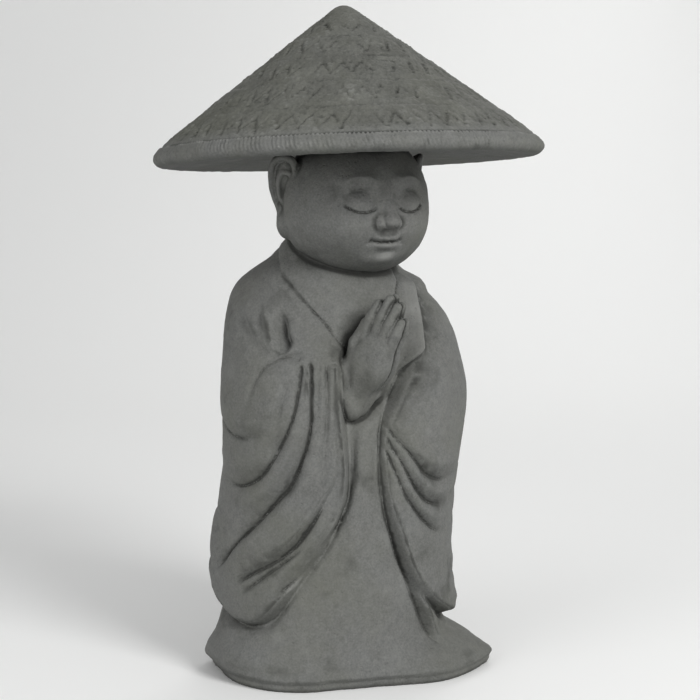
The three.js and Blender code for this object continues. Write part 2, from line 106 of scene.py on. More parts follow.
def region_distance(outline, X, Y):
    """Signed distance to a closed outline, positive inside."""
    p = np.asarray(outline, float)
    best = np.full(X.shape, 1e9)
    inside = np.zeros(X.shape, bool)
    j = len(p) - 1
    for i in range(len(p)):
        xi, yi = p[i]
        xj, yj = p[j]
        dx, dy = xj - xi, yj - yi
        t = np.clip(((X - xi) * dx + (Y - yi) * dy) / (dx * dx + dy * dy + 1e-12), 0, 1)
        best = np.minimum(best, (X - xi - t * dx) ** 2 + (Y - yi - t * dy) ** 2)
        if abs(dy) > 1e-9:
            inside ^= ((yi > Y) != (yj > Y)) & (X < dx * (Y - yi) / dy + xi)
        j = i
    d = np.sqrt(best)
    return np.where(inside, d, -d)


class Noise:
    """Smooth seeded noise on a repeating lattice, about -1 to 1."""

    def __init__(self, seed, n=32):
        self.n = n
        self.g = np.random.RandomState(seed).uniform(-1, 1, (n, n, n))

    def __call__(self, P, scale):
        q = P / scale
        i = np.floor(q).astype(np.int64)
        f = q - i
        f = f * f * (3 - 2 * f)
        i0 = i % self.n
        i1 = (i0 + 1) % self.n
        out = 0.0
        for a in (0, 1):
            xa = (i1 if a else i0)[:, 0]
            wa = f[:, 0] if a else 1 - f[:, 0]
            for b in (0, 1):
                yb = (i1 if b else i0)[:, 1]
                wb = f[:, 1] if b else 1 - f[:, 1]
                for c in (0, 1):
                    zc = (i1 if c else i0)[:, 2]
                    wc = f[:, 2] if c else 1 - f[:, 2]
                    out = out + self.g[xa, yb, zc] * wa * wb * wc
        return out


# ------------------------------------------------------------------ robe
# height, half width, sideways shift, how far back the widest line lies, front, back
SLEEVED = np.array([
    [0, 101, 0, 2, 57, 66], [14, 95, -4, 5, 57, 70], [26, 85, -7, 10, 56, 70], [31, 84.5, -4, 12, 57, 71],
    [38, 88, 0, 16, 57, 72], [45, 88, 0, 18, 57, 73], [52, 87, -2, 20, 58, 74],
    [66, 88, -3, 26, 59, 76], [82, 86.5, -3.5, 26, 59, 76], [100, 86, -2, 24, 59, 76], [122, 84, -1, 17, 59, 73],
    [144, 84, 0, 9, 60, 69], [188, 87, 0, 4, 62, 66], [221, 83, 0, 11, 56, 69],
    [242, 78, -1, 18, 46, 70], [258, 70, -3, 24, 38, 68], [266, 64.5, -3.5, 26, 34.5, 64],
    [274, 52, -7, 23, 31.5, 57], [284, 41, -5, 17, 27, 47], [292, 37, -3, 13, 22, 42], [300, 31, -2, 10, 18, 36]], float)
SKIRT = np.array([
    [0, 101, 0, 2, 57, 66], [14, 95, -4, 5, 57, 70], [26, 83, -8.5, 9, 55, 70], [34, 79, -9, 10, 54, 69], [50, 76, -6, 11, 53, 69],
    [80, 73.5, -2, 11, 52, 70], [122, 69, -1, 10, 50.5, 69], [166, 66, 0, 6, 49, 65],
    [200, 65, 0, 7, 44, 65], [221, 67, 0, 10, 41, 67], [236, 73, -1, 15, 41, 69], [248, 74, -2, 20, 40.5, 70],
    [258, 70, -3, 24, 38, 68], [266, 64.5, -3.5, 26, 34.5, 64],
    [274, 52, -7, 23, 31.5, 57], [284, 41, -5, 17, 27, 47], [292, 37, -3, 13, 22, 42], [300, 31, -2, 10, 18, 36]], float)
# plan of the foot, (angle, radius): a long pointed oval, turned a little from the body
FOOT = [(-180, 66), (-160, 68), (-142, 75.5), (-126, 87.5), (-112, 100), (-101, 95), (-85, 90.5), (-66, 83.5),
        (-47, 73.5), (-25, 60.5), (-4, 58), (15, 63.5), (36, 78.5), (55, 90), (64, 96), (71, 101),
        (79, 97), (94, 86), (115, 74), (140, 67), (162, 65.5)]
MM_PER_DEG = 1.15

# front edges of the hanging sleeves: (angle from the front, height)
RIGHT_EDGE = [(-90, 262), (-79, 255), (-73.5, 248), (-69.5, 240), (-65, 231), (-61, 222), (-55, 220.5), (-44, 220.5), (-34, 220.5),
              (-27, 220), (-25.5, 207), (-24.5, 194), (-23.5, 176), (-22, 158), (-21, 142), (-22, 128), (-27, 115), (-36, 97),
              (-47, 80), (-57, 63), (-65, 50), (-73, 42.5), (-82, 41), (-91, 43), (-100, 49), (-110, 56),
              (-130, 68), (-156, 79), (-178, 92)]
LEFT_EDGE = [(86, 262), (72, 265), (62.5, 260), (56.5, 252), (51, 244.5), (46, 237), (41, 229), (37, 222), (33, 214),
             (26, 204), (18, 194), (11, 183), (7, 174), (5, 164), (4.5, 150), (6, 136), (9, 120), (14, 104), (23, 82),
             (36, 62), (54, 45), (68, 36), (77, 34.5), (84, 42), (94, 51), (110, 58), (136, 66), (160, 76), (178, 92)]
COLLAR_RIGHT = [(-150, 297), (-120, 290), (-98, 281), (-86, 276), (-74, 269), (-61, 260), (-51, 252), (-43.5, 245.5),
                (-36, 239), (-26, 228), (-18, 221), (-6, 209), (5, 196)]
COLLAR_LEFT = [(150, 297), (116, 290), (84, 283), (62, 276), (47, 268), (35, 260), (25, 249), (15, 236), (6, 220), (-3, 200)]

# kind, line of (angle, height), relief in mm, width in mm, taper at the start and end
#   v sharp crease between rounded cloth, g soft groove, r soft ridge,
#   s step: cloth on the side of greater angle (line drawn downwards) stands proud
#   h hollow: steep on the side of smaller angle, gentle on the other
# where the skirt's left flap begins; it is raised from here to under the left sleeve
FLAP_LINE = [(9, 124), (12.5, 108), (16.5, 95), (21.5, 81), (26, 71), (31, 61), (38, 48.5), (44, 38), (48.5, 28), (49.5, 20), (48.5, 13), (47, 6)]
FLAP_HEIGHT, FLAP_REACH = 6.0, 22.0
FOLDS = [
    # right sleeve: pouch at the elbow
    ("v", [(-50, 219), (-57, 221), (-64, 219), (-69, 213), (-72, 204), (-74, 192), (-78, 180)], -3.0, 2.6, .03, .4),
    ("v", [(-62, 168), (-70, 168), (-80, 166), (-90, 168), (-100, 174), (-114, 180)], -3.4, 3.2, .5, .3),
    ("v", [(-54, 208), (-56, 198), (-58, 184), (-64, 172)], -2.8, 2.4, .3, .4),
    # the long folds that fall from the forearm and sweep round to the side
    ("v", [(-50, 220.5), (-49, 207), (-50, 190), (-53, 176), (-58, 164), (-65, 149), (-73, 139), (-84, 133), (-94, 135), (-104, 144)], -4.4, 3.0, .07, .25),
    ("v", [(-45, 220.5), (-43, 207), (-42, 184), (-44, 167), (-48, 153), (-55, 136), (-62, 127), (-74, 110), (-87, 93), (-97, 77), (-104, 66)], -5.2, 3.2, .06, .12),
    ("v", [(-28, 150), (-30, 138), (-36, 125), (-44, 110), (-54, 95), (-64, 85), (-73, 78), (-81, 71), (-90, 62)], -5.0, 3.0, .45, .12),
    ("v", [(-44, 101), (-50, 94), (-58, 86), (-68, 76), (-79, 64), (-86, 57)], -3.4, 2.6, .4, .25),
    ("v", [(-20.5, 152), (-21.5, 140), (-23.5, 127), (-28, 112), (-33, 104), (-39, 95), (-47, 82), (-54, 73), (-61, 65), (-69, 56)], -3.8, 2.2, .18, .15),
    ("g", [(-35, 220.5), (-34, 205), (-33.5, 190), (-34, 172), (-36, 154), (-38, 140)], -2.1, 1.9, .08, .5),
    ("g", [(-39.5, 220.5), (-38.5, 206), (-38.5, 190), (-39, 172)], -1.5, 1.7, .08, .6),
    ("r", [(-29, 217), (-29.5, 205), (-29, 188), (-28, 165), (-30, 148), (-35, 134), (-44, 117), (-56, 101), (-70, 89), (-86, 77)], 3.0, 3.8, .02, .2),
    ("r", [(-24, 200), (-23.5, 176), (-24, 150), (-27, 130), (-35, 111), (-46, 94), (-60, 77), (-72, 64)], 2.0, 3.2, .2, .3),
    ("r", [(-38, 178), (-40, 160), (-46, 140), (-56, 122), (-68, 106), (-82, 90), (-94, 76)], 2.2, 5.0, .2, .2),
    ("r", [(-46, 190), (-49, 170), (-56, 153), (-66, 137), (-80, 122), (-96, 106)], 2.2, 6.0, .2, .2),
    ("r", [(-58, 204), (-62, 188), (-70, 178), (-84, 178)], 2.2, 6.0, .2, .3),
    ("r", [(-60, 158), (-74, 150), (-90, 148), (-106, 158)], 2.0, 6.0, .2, .3),
    # right upper arm, and the hollow between it and the chest, above the cuff
    ("h", [(-70.5, 256), (-69.5, 248), (-68.5, 242), (-66.5, 235), (-62.5, 228.5), (-58, 223.5)], -9.4, 4.8, .6, .16),
    ("g", [(-98, 250), (-90, 243), (-81, 234), (-72, 226), (-62, 220)], -2.8, 3.2, .3, .1),
    ("g", [(-84, 256), (-78, 243), (-70, 231), (-62, 223)], -2.0, 2.6, .4, .1),
    ("r", [(-94, 254), (-84, 240), (-74, 229), (-64, 221)], 1.6, 3.4, .4, .1),
    ("r", [(-81, 258), (-77, 247), (-74, 238), (-70, 229), (-66, 222)], 1.6, 3.0, .4, .05),
    # left sleeve: rounded forearm, then folds that fan out from the wrist
    ("v", [(6, 178), (10, 171), (16, 162), (24, 152), (33, 142), (44, 136), (55, 134), (68, 138)], -4.0, 2.6, .12, .3),
    ("v", [(6, 171), (10, 162), (15, 152), (23, 137), (32, 126), (43, 119), (56, 116), (68, 119)], -4.0, 2.6, .12, .3),
    ("v", [(5, 164), (9, 153), (13, 143), (19, 129), (29, 115), (41, 104), (53, 98), (66, 99)], -3.8, 2.6, .12, .3),
    ("r", [(14, 170), (24, 158), (38, 148), (58, 146), (74, 150)], 2.2, 5.6, .3, .3),
    ("r", [(12, 162), (22, 146), (34, 133), (48, 126), (68, 128)], 1.7, 3.8, .3, .3),
    ("r", [(12, 150), (20, 134), (32, 119), (46, 110), (68, 110)], 1.7, 3.8, .3, .3),
    ("r", [(14, 130), (26, 106), (42, 90), (64, 84)], 1.4, 6.0, .3, .3),
    ("g", [(46, 240), (48, 228), (56, 216), (70, 208)], -1.6, 4.4, .3, .5),
    # left lapel
    ("r", [(70, 272), (59, 266), (51, 257), (45.5, 248), (40.5, 239), (36, 230), (31.5, 219), (24, 206), (13, 193)], 4.0, 3.9, .15, .3),
    ("v", [(77, 270), (66, 262), (59, 253), (53, 245), (47.5, 237), (42.5, 229), (38, 222), (33, 214), (26, 204), (18, 194)], -6.0, 3.2, .15, .25),
    ("g", [(41, 256), (37, 246), (33, 234), (29, 222), (23, 210), (14, 198)], -1.2, 1.8, .3, .3),
    # skirt: two soft folds down from the hands, then the flap to the left
    ("g", [(-16, 180), (-17, 160), (-18, 140), (-24, 118), (-30, 100)], -1.5, 3.0, .2, .5),
    ("r", [(-13, 176), (-13, 150), (-15, 124), (-22, 96), (-30, 70), (-36, 44)], 1.3, 4.0, .2, .4),
    ("g", [(-3, 176), (-3, 152), (-4, 128), (-9, 98)], -1.1, 3.4, .2, .5),
    ("r", [(1, 172), (0, 146), (0, 120), (-3, 96)], 0.9, 3.4, .2, .5),
    ("g", FLAP_LINE, -2.8, 2.8, .35, .2),
    ("g", [(62, 30), (74, 20), (86, 14)], -1.4, 4.0, .3, .3),
    ("g", [(-80, 34), (-86, 22), (-90, 12)], -1.2, 6.0, .3, .3),
    ("g", [(-34, 34), (-38, 22), (-42, 12)], -0.7, 6.0, .3, .3),
    # back: long soft folds from the shoulders
    ("v", [(148, 262), (150, 220), (149, 160), (142, 104), (134, 60), (128, 14)], -2.6, 5.0, .3, .25),
    ("v", [(-148, 262), (-150, 220), (-149, 160), (-142, 104), (-134, 60), (-128, 14)], -2.6, 5.0, .3, .25),
    ("g", [(180, 238), (177, 190), (179, 130), (175, 70), (174, 14)], -2.2, 7.0, .3, .2),
    ("r", [(164, 226), (163, 170), (160, 110), (156, 50), (154, 14)], 2.0, 7.0, .3, .2),
    ("r", [(-164, 226), (-163, 170), (-160, 110), (-156, 50), (-154, 14)], 2.0, 7.0, .3, .2),
    # outer sides of the sleeves
    ("v", [(66, 137), (80, 142), (98, 154), (116, 160)], -3.0, 3.4, .3, .5),
    ("v", [(66, 118), (86, 126), (106, 134), (126, 130)], -2.8, 3.4, .3, .5),
    ("v", [(66, 99), (90, 106), (112, 110), (134, 104)], -2.6, 3.4, .3, .5),
    ("v", [(88, 200), (104, 186), (122, 182), (138, 186)], -2.2, 4.4, .4, .4),
    ("v", [(64, 60), (84, 62), (106, 74), (130, 82)], -2.2, 3.6, .4, .4),
    ("v", [(-102, 143), (-118, 146), (-138, 138)], -2.4, 3.6, .3, .5),
    ("v", [(-102, 68), (-118, 80), (-138, 88)], -2.6, 3.6, .3, .5),
    ("v", [(-112, 206), (-124, 190), (-140, 188)], -2.2, 4.2, .4, .4),
    ("v", [(-102, 112), (-118, 112), (-138, 106)], -2.0, 4.0, .4, .4),
]


def plan_radius(T, a, z):
    """Distance from the axis to the robe in plan: four elliptical quarters."""
    w, cx, c, f, b = (CubicLine(T[:, 0], T[:, k], False)(np.clip(z, 0, 299.9)) for k in range(1, 6))
    s, k = np.sin(a), np.cos(a)

    def solve(depth):
        A = (s / w) ** 2 + (k / depth) ** 2
        B = 2 * k * c / depth ** 2 - 2 * s * cx / w ** 2
        C = (c / depth) ** 2 + (cx / w) ** 2 - 1
        return (-B + np.sqrt(np.maximum(B * B - 4 * A * C, 0))) / (2 * A)

    front = solve(f + c)
    return np.where(front * k + c > 0, front, solve(b - c))


class CubicLine:
    """A smooth curve through given values, closed on itself or open."""

    def __init__(self, a, r, closed=True):
        self.a, self.r = a, r
        m = np.zeros(len(a))
        h = np.diff(a)
        d = np.diff(r) / h
        for i in range(len(a)):
            p, q = (i - 1) % len(d), i % len(d)
            if not closed and i in (0, len(a) - 1):
                m[i] = d[0] if i == 0 else d[-1]
            elif d[p] * d[q] > 0:
                m[i] = (h[p] + h[q]) / (h[q] / d[p] + h[p] / d[q])
        self.m = m

    def __call__(self, A):
        i = np.clip(np.searchsorted(self.a, A, side="right") - 1, 0, len(self.a) - 2)
        h = self.a[i + 1] - self.a[i]
        t = (A - self.a[i]) / h
        return ((1 + 2 * t) * (1 - t) ** 2 * self.r[i] + t * (1 - t) ** 2 * h * self.m[i]
                + t * t * (3 - 2 * t) * self.r[i + 1] + t * t * (t - 1) * h * self.m[i + 1])


def blur(T, n, wrap_axis0=True):
    for _ in range(n):
        up = np.roll(T, 1, 0)
        dn = np.roll(T, -1, 0)
        T = (up + 2 * T + dn) / 4
        T[:, 1:-1] = (T[:, :-2] + 2 * T[:, 1:-1] + T[:, 2:]) / 4
    return T


class Robe:
    """Robe radius as a table over angle and height."""
    DA, DZ, Z0, Z1 = 0.3, 0.5, -3.0, 302.0

    def __init__(self):
        na = int(round(360 / self.DA))
        self.a = -180 + self.DA * np.arange(na)
        self.z = np.arange(self.Z0, self.Z1 + 1e-6, self.DZ)
        A, Z = np.meshgrid(self.a, self.z, indexing="ij")
        X = A * MM_PER_DEG
        skirt = plan_radius(SKIRT, A * D2R, Z)
        sleeved = plan_radius(SLEEVED, A * D2R, Z)
        sc = lambda o: [(p[0] * MM_PER_DEG, p[1]) for p in o]
        outline = lambda edge, end: np.vstack([catmull(sc(edge), 90), [(end * MM_PER_DEG, 90), (end * MM_PER_DEG, 263)]])
        cr = region_distance(outline(RIGHT_EDGE, -215), X, Z)
        cl = region_distance(outline(LEFT_EDGE, 215), X, Z)
        cover = np.maximum(cr, cl)
        step = np.maximum(sleeved - skirt, 0)
        # rolled sleeve edges, each with a shadow line at its foot
        crisp = 0.56 + 0.30 * smooth(196, 214, Z) + 0.36 * smooth(72, 56, Z)
        edge_r = crisp * smooth(-1.2, 2.2, cr) + (1 - crisp) * smooth(-1.0, 13.0, cr)
        crisp = 0.36 + 0.34 * smooth(140, 105, Z)
        edge_l = crisp * smooth(-1.2, 2.2, cl) + (1 - crisp) * smooth(-1.0, 15.0, cl)
        # above the elbow the lapel overlaps the left arm instead
        upper = smooth(206, 226, Z)
        edge_l = edge_l * (1 - upper) + upper * smooth(-17.0, -1.0, cl)
        # cloth drawn forward over the right forearm, between the collar and the cuff
        drape = 0.86 * smooth(262, 222, Z) * smooth(-20, -33, A) * smooth(213, 216, Z)
        edge = np.maximum(np.maximum(edge_r, edge_l), np.where(A < 0, drape, 0))
        R = skirt + (sleeved - skirt) * edge
        # the foot spreads from the skirt
        spread_out = smooth(28, 6, Z) ** 1.4
        foot = np.array(FOOT, float)
        foot = np.vstack([foot, foot[:1] + [360, 0]])
        foot = CubicLine(foot[:, 0], foot[:, 1])(A)
        R = R + (foot - R) * spread_out
        fd, fs, fa = line_distance(catmull(sc(FLAP_LINE), 40), X, Z)
        flap = smooth(-0.5, 5.0, fd) * np.exp(-(fd / FLAP_REACH) ** 2) * (fs > 0) * smooth(0, .25, fa) * (A > 0)
        R = R + FLAP_HEIGHT * (0.5 + 0.5 * smooth(20, 45, Z)) * smooth(7, 20, Z) * flap * (1 - edge_l)
        thick = smooth(2.0, 8.0, step)
        low = smooth(135, 105, Z)
        # the right sleeve's bag hangs over the skirt at its lowest part
        bag = smooth(76, 60, Z) * smooth(-112, -99, A) * smooth(-54, -68, A)
        R = R - 5.0 * np.exp(-((cr + 2.4) / np.where(cr > -2.4, 1.9, 5.2)) ** 2) * bag
        R = R + 1.6 * np.exp(-((cr - 5.5) / 5.0) ** 2) * bag
        hang = (A < 0) * smooth(196, 172, Z)
        foot_line = (1.2 + 1.6 * low) * (1 - upper * (A > 0)) * np.where(A < 0, smooth(226, 216, Z), 1.0)
        foot_line = foot_line * (1 - 0.55 * hang * smooth(56, 68, Z))
        R = R - foot_line * np.exp(-((cover + 2.0) / (1.7 + 0.6 * low)) ** 2) * thick
        R = R + 0.9 * np.exp(-((cover - 4.0 + 2.4 * hang) / (2.6 - 0.8 * hang)) ** 2) * thick * (1 - upper)
        self.cover = cover
        # the two collar lines: fine grooves, with the crossed front standing a little proud
        line_r = catmull(sc(COLLAR_RIGHT), 60)
        line_l = catmull(sc(COLLAR_LEFT), 60)
        dr, sr, _ = line_distance(line_r, X, Z)
        dl, sl, _ = line_distance(line_l, X, Z)
        openr, openl = sr * dr, -sl * dl
        gate = smooth(198, 210, Z) * (1 - smooth(-3, 1, cr) * smooth(262, 252, Z))
        R = R + 0.5 * smooth(-0.6, 2.4, openr) * smooth(-1.0, 1.0, openl) * gate
        R = R - 1.5 * np.exp(-(openr / 1.0) ** 2) * gate + 0.45 * np.exp(-((openr + 4.2) / 3.0) ** 2) * gate
        R = R - 3.0 * np.exp(-np.abs(openl - 0.4) / 1.4) * gate * smooth(222, 240, Z)
        # shadow line where that cloth meets the cuff
        R = R - 1.2 * np.exp(-((Z - 222.8) / 1.9) ** 2) * smooth(-60, -52, A) * smooth(-25, -30, A)
        R = R + 0.5 * np.exp(-((Z - 218.0) / 2.2) ** 2) * smooth(-58, -50, A) * smooth(-25, -30, A)
        # the arm falls away behind the left lapel
        R = R - 2.6 * smooth(-0.5, 1.5, cl) * np.exp(-(np.maximum(cl, 0) / 11.0) ** 2) * smooth(216, 230, Z) * smooth(264, 254, Z) * (A > 0)
        # cavity where the wrists come out of the cuffs
        R = R - 13.0 * (np.exp(-(((A + 15) / 8.5) ** 2) - (((Z - 189) / 7.5) ** 2)) + 0.7 * np.exp(-(((A + 1) / 8.5) ** 2) - (((Z - 193) / 6.5) ** 2))) * (1 - smooth(-2, 4, cover))
        for kind, pts, h, w, t0, t1 in FOLDS:
            line = catmull(sc(pts), 34)
            for turn in (-360.0, 0.0, 360.0):
                ln = line + np.array([turn * MM_PER_DEG, 0.0])
                m = 5 * w + 3
                x0, x1 = ln[:, 0].min() - m, ln[:, 0].max() + m
                z0, z1 = ln[:, 1].min() - m, ln[:, 1].max() + m
                i0 = max(0, int(np.floor((x0 / MM_PER_DEG + 180) / self.DA)))
                i1 = min(na, int(np.ceil((x1 / MM_PER_DEG + 180) / self.DA)) + 1)
                k0 = max(0, int(np.floor((z0 - self.Z0) / self.DZ)))
                k1 = min(len(self.z), int(np.ceil((z1 - self.Z0) / self.DZ)) + 1)
                if i1 - i0 < 2 or k1 - k0 < 2:
                    continue
                xs, zs = X[i0:i1, k0:k1], Z[i0:i1, k0:k1]
                d, side, al = line_distance(ln, xs, zs)
                env = smooth(0.0, max(t0, 1e-3), al) * smooth(1.0, 1.0 - max(t1, 1e-3), al)
                if kind == "v":
                    prof = (0.66 * np.exp(-np.sqrt(d * d + 0.1) / w) + 0.34 * np.exp(-(d / 1.0) ** 2)) * smooth(5 * w, 2.5 * w, d)
                elif kind == "h":
                    prof = np.exp(-(d / np.where(side > 0, w, 0.5 * w)) ** 2)
                elif kind == "s":
                    prof = np.where(side > 0, smooth(-0.5, 5.0, d) * np.exp(-(d / w) ** 2), 0.0)
                else:
                    prof = np.exp(-(d / w) ** 2)
                R[i0:i1, k0:k1] += h * env * prof
        # foot: a rolled hem that turns in under itself
        R = R + 0.9 * np.exp(-((Z - 8.6) / 2.4) ** 2) - 0.35 * np.exp(-((Z - 12.8) / 2.2) ** 2)
        R = R - 1.5 * smooth(8.4, 4.4, Z) - 4.6 * smooth(13, 2, Z) * np.exp(-((A + 110) / 22.0) ** 2)
        R = np.where(Z < 3.0, R - (3.0 - Z) ** 2 * 0.2, R)
        self.R = blur(R, 1)
        dz = np.gradient(self.R, self.DZ, axis=1)
        da = (np.roll(self.R, -1, 0) - np.roll(self.R, 1, 0)) / (2 * self.DA * D2R)
        g = 1.0 / np.sqrt(1.0 + dz ** 2 + (da / np.maximum(self.R, 15)) ** 2)
        self.G = blur(g, 2)

    def sample(self, T, a, z):
        u = (a + 180.0) / self.DA
        v = np.clip((z - self.Z0) / self.DZ, 0, len(self.z) - 1.001)
        i = np.floor(u).astype(np.int64)
        j = np.floor(v).astype(np.int64)
        fu, fv = u - i, v - j
        n = T.shape[0]
        i0, i1 = i % n, (i + 1) % n
        return ((T[i0, j] * (1 - fu) + T[i1, j] * fu) * (1 - fv)
                + (T[i0, j + 1] * (1 - fu) + T[i1, j + 1] * fu) * fv)

    def field(self, P):
        r = np.hypot(P[:, 0], P[:, 1])
        a = np.arctan2(P[:, 0], P[:, 1]) / D2R
        R = self.sample(self.R, a, P[:, 2])
        G = self.sample(self.G, a, P[:, 2])
        f = (r - R) * G
        return smax(np.maximum(f, -P[:, 2]), P[:, 2] - 300.0, 1.0)


# ------------------------------------------------------------------ hat
HAT_RADIUS, HAT_BASE, HAT_RISE, HAT_SLOPE = 129.6, 347.0, 102.7, 0.745
HAT_BACK, HAT_SIDE = 3.2, 0.95      # degrees: tipped back, and to the figure's right
RING = np.array([0.8, 0.5])         # centre of the rim from the robe's axis, to the left and front
RIM_HALF, HAT_DISH = 4.9, 9.0


class Hat:
    """Cone with a rolled rim, tilted back a little, with rows of straw imprints."""
    DA, DR = 0.15, 0.4

    def __init__(self):
        R, lip = HAT_RADIUS, RIM_HALF
        pts = [(-6.0, HAT_DISH), (48, HAT_DISH * .93), (92, HAT_DISH * .42), (R - 2.1 * lip, .4)]
        for i in range(9):
            a = (-90 + i * 17) * D2R
            pts.append((R - lip + lip * math.cos(a), lip + lip * math.sin(a)))
        top = HAT_RISE + 2.7
        pts += [(R - 8.2, top - HAT_SLOPE * (R - 8.2) - 0.5), (R - 14, top - HAT_SLOPE * (R - 14)), (8.5, top - HAT_SLOPE * 8.5)]
        pts += [(5.4, HAT_RISE - 1.6), (2.6, HAT_RISE - .4), (0, HAT_RISE), (-6, HAT_RISE - 2)]
        self.profile = pts
        # the hat's own axes: its axis leans back and to the figure's right
        ax = np.array([-math.tan(HAT_SIDE * D2R), -math.tan(HAT_BACK * D2R), 1.0])
        self.ez = ax / np.linalg.norm(ax)
        ex = np.array([1.0, 0.0, 0.0]) - self.ez[0] * self.ez
        self.ex = ex / np.linalg.norm(ex)
        self.ef = np.cross(self.ez, self.ex)
        self.o = np.array([RING[0], RING[1], HAT_BASE]) - RIM_HALF * self.ez * np.array([1, 1, 0])
        na, nr = int(round(360 / self.DA)), int(R / self.DR) + 8
        self.a = self.DA * np.arange(na)
        self.r = self.DR * np.arange(nr)
        rel = np.zeros((na, nr))
        rng = np.random.RandomState(SEED)
        slope = math.sqrt(1 + HAT_SLOPE ** 2)
        # rows of zigzag imprints, pressed one stroke at a time
        for row, (rc, half) in enumerate([(114.5, 7.2), (90.0, 7.2), (66.5, 6.8), (45.0, 6.2), (26.5, 5.2)]):
            n = int(round(2 * math.pi * rc / 12.8))
            start = rng.uniform(0, 360)
            for i in range(n):
                for arm in (0, 1):
                    if rng.rand() < 0.07:
                        continue
                    c = start + (i + 0.5 * arm) * 360.0 / n + rng.uniform(-.5, .5)
                    lean = (1 if arm else -1) * 0.25 * 360.0 / n
                    h = half * rng.uniform(.72, 1.02)
                    off = rng.uniform(-.9, .9)
                    r0, r1 = rc + off + h / slope * 1.1, rc + off - h / slope * 1.1
                    depth = rng.uniform(1.0, 2.0)
                    wid = rng.uniform(1.1, 1.65)
                    self.stroke(rel, (c - lean, r0), (c + lean * rng.uniform(.8, 1.1), r1), -depth, wid)
                    # pressed straw swells beside the stroke
                    self.stroke(rel, (c - lean + 1.7 * 57.3 / rc, r0), (c + lean + 1.7 * 57.3 / rc, r1), depth * .34, 1.5)
        # faint rings where the rows of straw meet
        for rc in (102.5, 78.5, 55.5, 35.5):
            rel += (-.28 * np.exp(-((self.r - rc) / 1.3) ** 2) + .22 * np.exp(-((self.r - rc - 2.4) / 1.6) ** 2))[None, :]
        # ring above the rim, and the whipped edge
        rel += (-.75 * np.exp(-((self.r - 124.6) / .9) ** 2) + .4 * np.exp(-((self.r - 126.4) / 1.1) ** 2))[None, :]
        # coarse straw: short uneven ripples round the cone, and rough grain
        ga = rng.uniform(-1, 1, (480, nr // 4 + 3))
        gb = rng.uniform(-1, 1, (1200, nr // 6 + 3))
        for g, amp, kr in ((ga, .40, 4.0), (gb, .34, 6.0)):
            ia = self.a / 360.0 * g.shape[0]
            ir = np.arange(nr) / kr
            i0, j0 = np.floor(ia).astype(int), np.floor(ir).astype(int)
            fa, fr = smooth(0, 1, ia - i0)[:, None], smooth(0, 1, ir - j0)[None, :]
            i1 = (i0 + 1) % g.shape[0]
            v = ((g[np.ix_(i0, j0)] * (1 - fa) + g[np.ix_(i1, j0)] * fa) * (1 - fr)
                 + (g[np.ix_(i0, j0 + 1)] * (1 - fa) + g[np.ix_(i1, j0 + 1)] * fa) * fr)
            rel += amp * v * smooth(126, 122, self.r)[None, :] * smooth(2, 12, self.r)[None, :]
        self.rel = rel

    def stroke(self, rel, p, q, h, w):
        """A tapered stroke between two (angle, radius) points."""
        rm = 0.5 * (p[1] + q[1])
        k = rm * D2R
        am, rr = 0.5 * (p[0] + q[0]), max(p[1], q[1]) + 3 * w
        ra, dr = abs(p[0] - q[0]) / 2 + 3 * w / k, abs(p[1] - q[1]) / 2 + 3 * w
        i = np.arange(int((am - ra) / self.DA), int((am + ra) / self.DA) + 2)
        j = np.arange(max(0, int((rm - dr) / self.DR)), min(len(self.r), int((rm + dr) / self.DR) + 2))
        A = (i * self.DA - am)[:, None] * k
        Rr = (j * self.DR - rm)[None, :] * 1.25
        d, _, al = line_distance(np.array([[(p[0] - am) * k, (p[1] - rm) * 1.25], [(q[0] - am) * k, (q[1] - rm) * 1.25]]),
                                 A + 0 * Rr, Rr + 0 * A)
        rel[np.ix_(i % rel.shape[0], j)] += h * np.exp(-(d / w) ** 2) * (.55 + .45 * np.sin(np.pi * np.clip(al, .05, .95)))

    def local(self, P):
        """A point in the hat's own axes: left, front, and height above the rim's underside."""
        q = P - self.o
        return q @ self.ex, q @ self.ef, q @ self.ez

    def field(self, P):
        x, f, z = self.local(P)
        r = np.hypot(x, f)
        d = -region_distance(self.profile, r, z)
        d = d - 0.5                      # soften the profile's corners
        a = (np.arctan2(x, f) / D2R) % 360.0
        u = a / self.DA
        v = np.clip(r / self.DR, 0, len(self.r) - 1.001)
        i = np.floor(u).astype(np.int64)
        j = np.floor(v).astype(np.int64)
        fu, fv = u - i, v - j
        n = self.rel.shape[0]
        i0, i1 = i % n, (i + 1) % n
        T = self.rel
        rel = ((T[i0, j] * (1 - fu) + T[i1, j] * fu) * (1 - fv) + (T[i0, j + 1] * (1 - fu) + T[i1, j + 1] * fu) * fv)
        upper = smooth(0.0, 3.0, z - (HAT_RISE + 2.7 - HAT_SLOPE * r - 6.0))
        d = d - rel * upper * 0.86
        # whipping: slanted stitches round the outer edge of the rim
        st = np.cos(a * D2R * 292.0 + (z - 6) * 0.6) * (0.75 + 0.35 * np.cos(a * D2R * 53.0) * np.cos(a * D2R * 17.0 + 1.0))
        edge = smooth(122.6, 125.0, r) * smooth(1.5, 4.0, z) * smooth(14.0, 11.0, z)
        d = d - 0.5 * st * edge
        return d


# ------------------------------------------------------------------ head
HEAD = np.array([0.8, 11.0, 320.5])
HEAD_R = np.array([49.3, 49.5, 48.0])
HEAD_TURN = 4.0 * D2R


def capsule(P, a, b, r0, r1):
    a, b = np.asarray(a, float), np.asarray(b, float)
    ab = b - a
    t = np.clip(((P - a) @ ab) / (ab @ ab), 0, 1)
    return np.linalg.norm(P - a - t[:, None] * ab, axis=1) - (r0 + (r1 - r0) * t)


def ellipsoid(P, c, r):
    q = (P - np.asarray(c, float)) / np.asarray(r, float)
    n = np.linalg.norm(q, axis=1)
    g = np.linalg.norm(q / np.asarray(r, float), axis=1) + 1e-9
    return n * (n - 1.0) / g


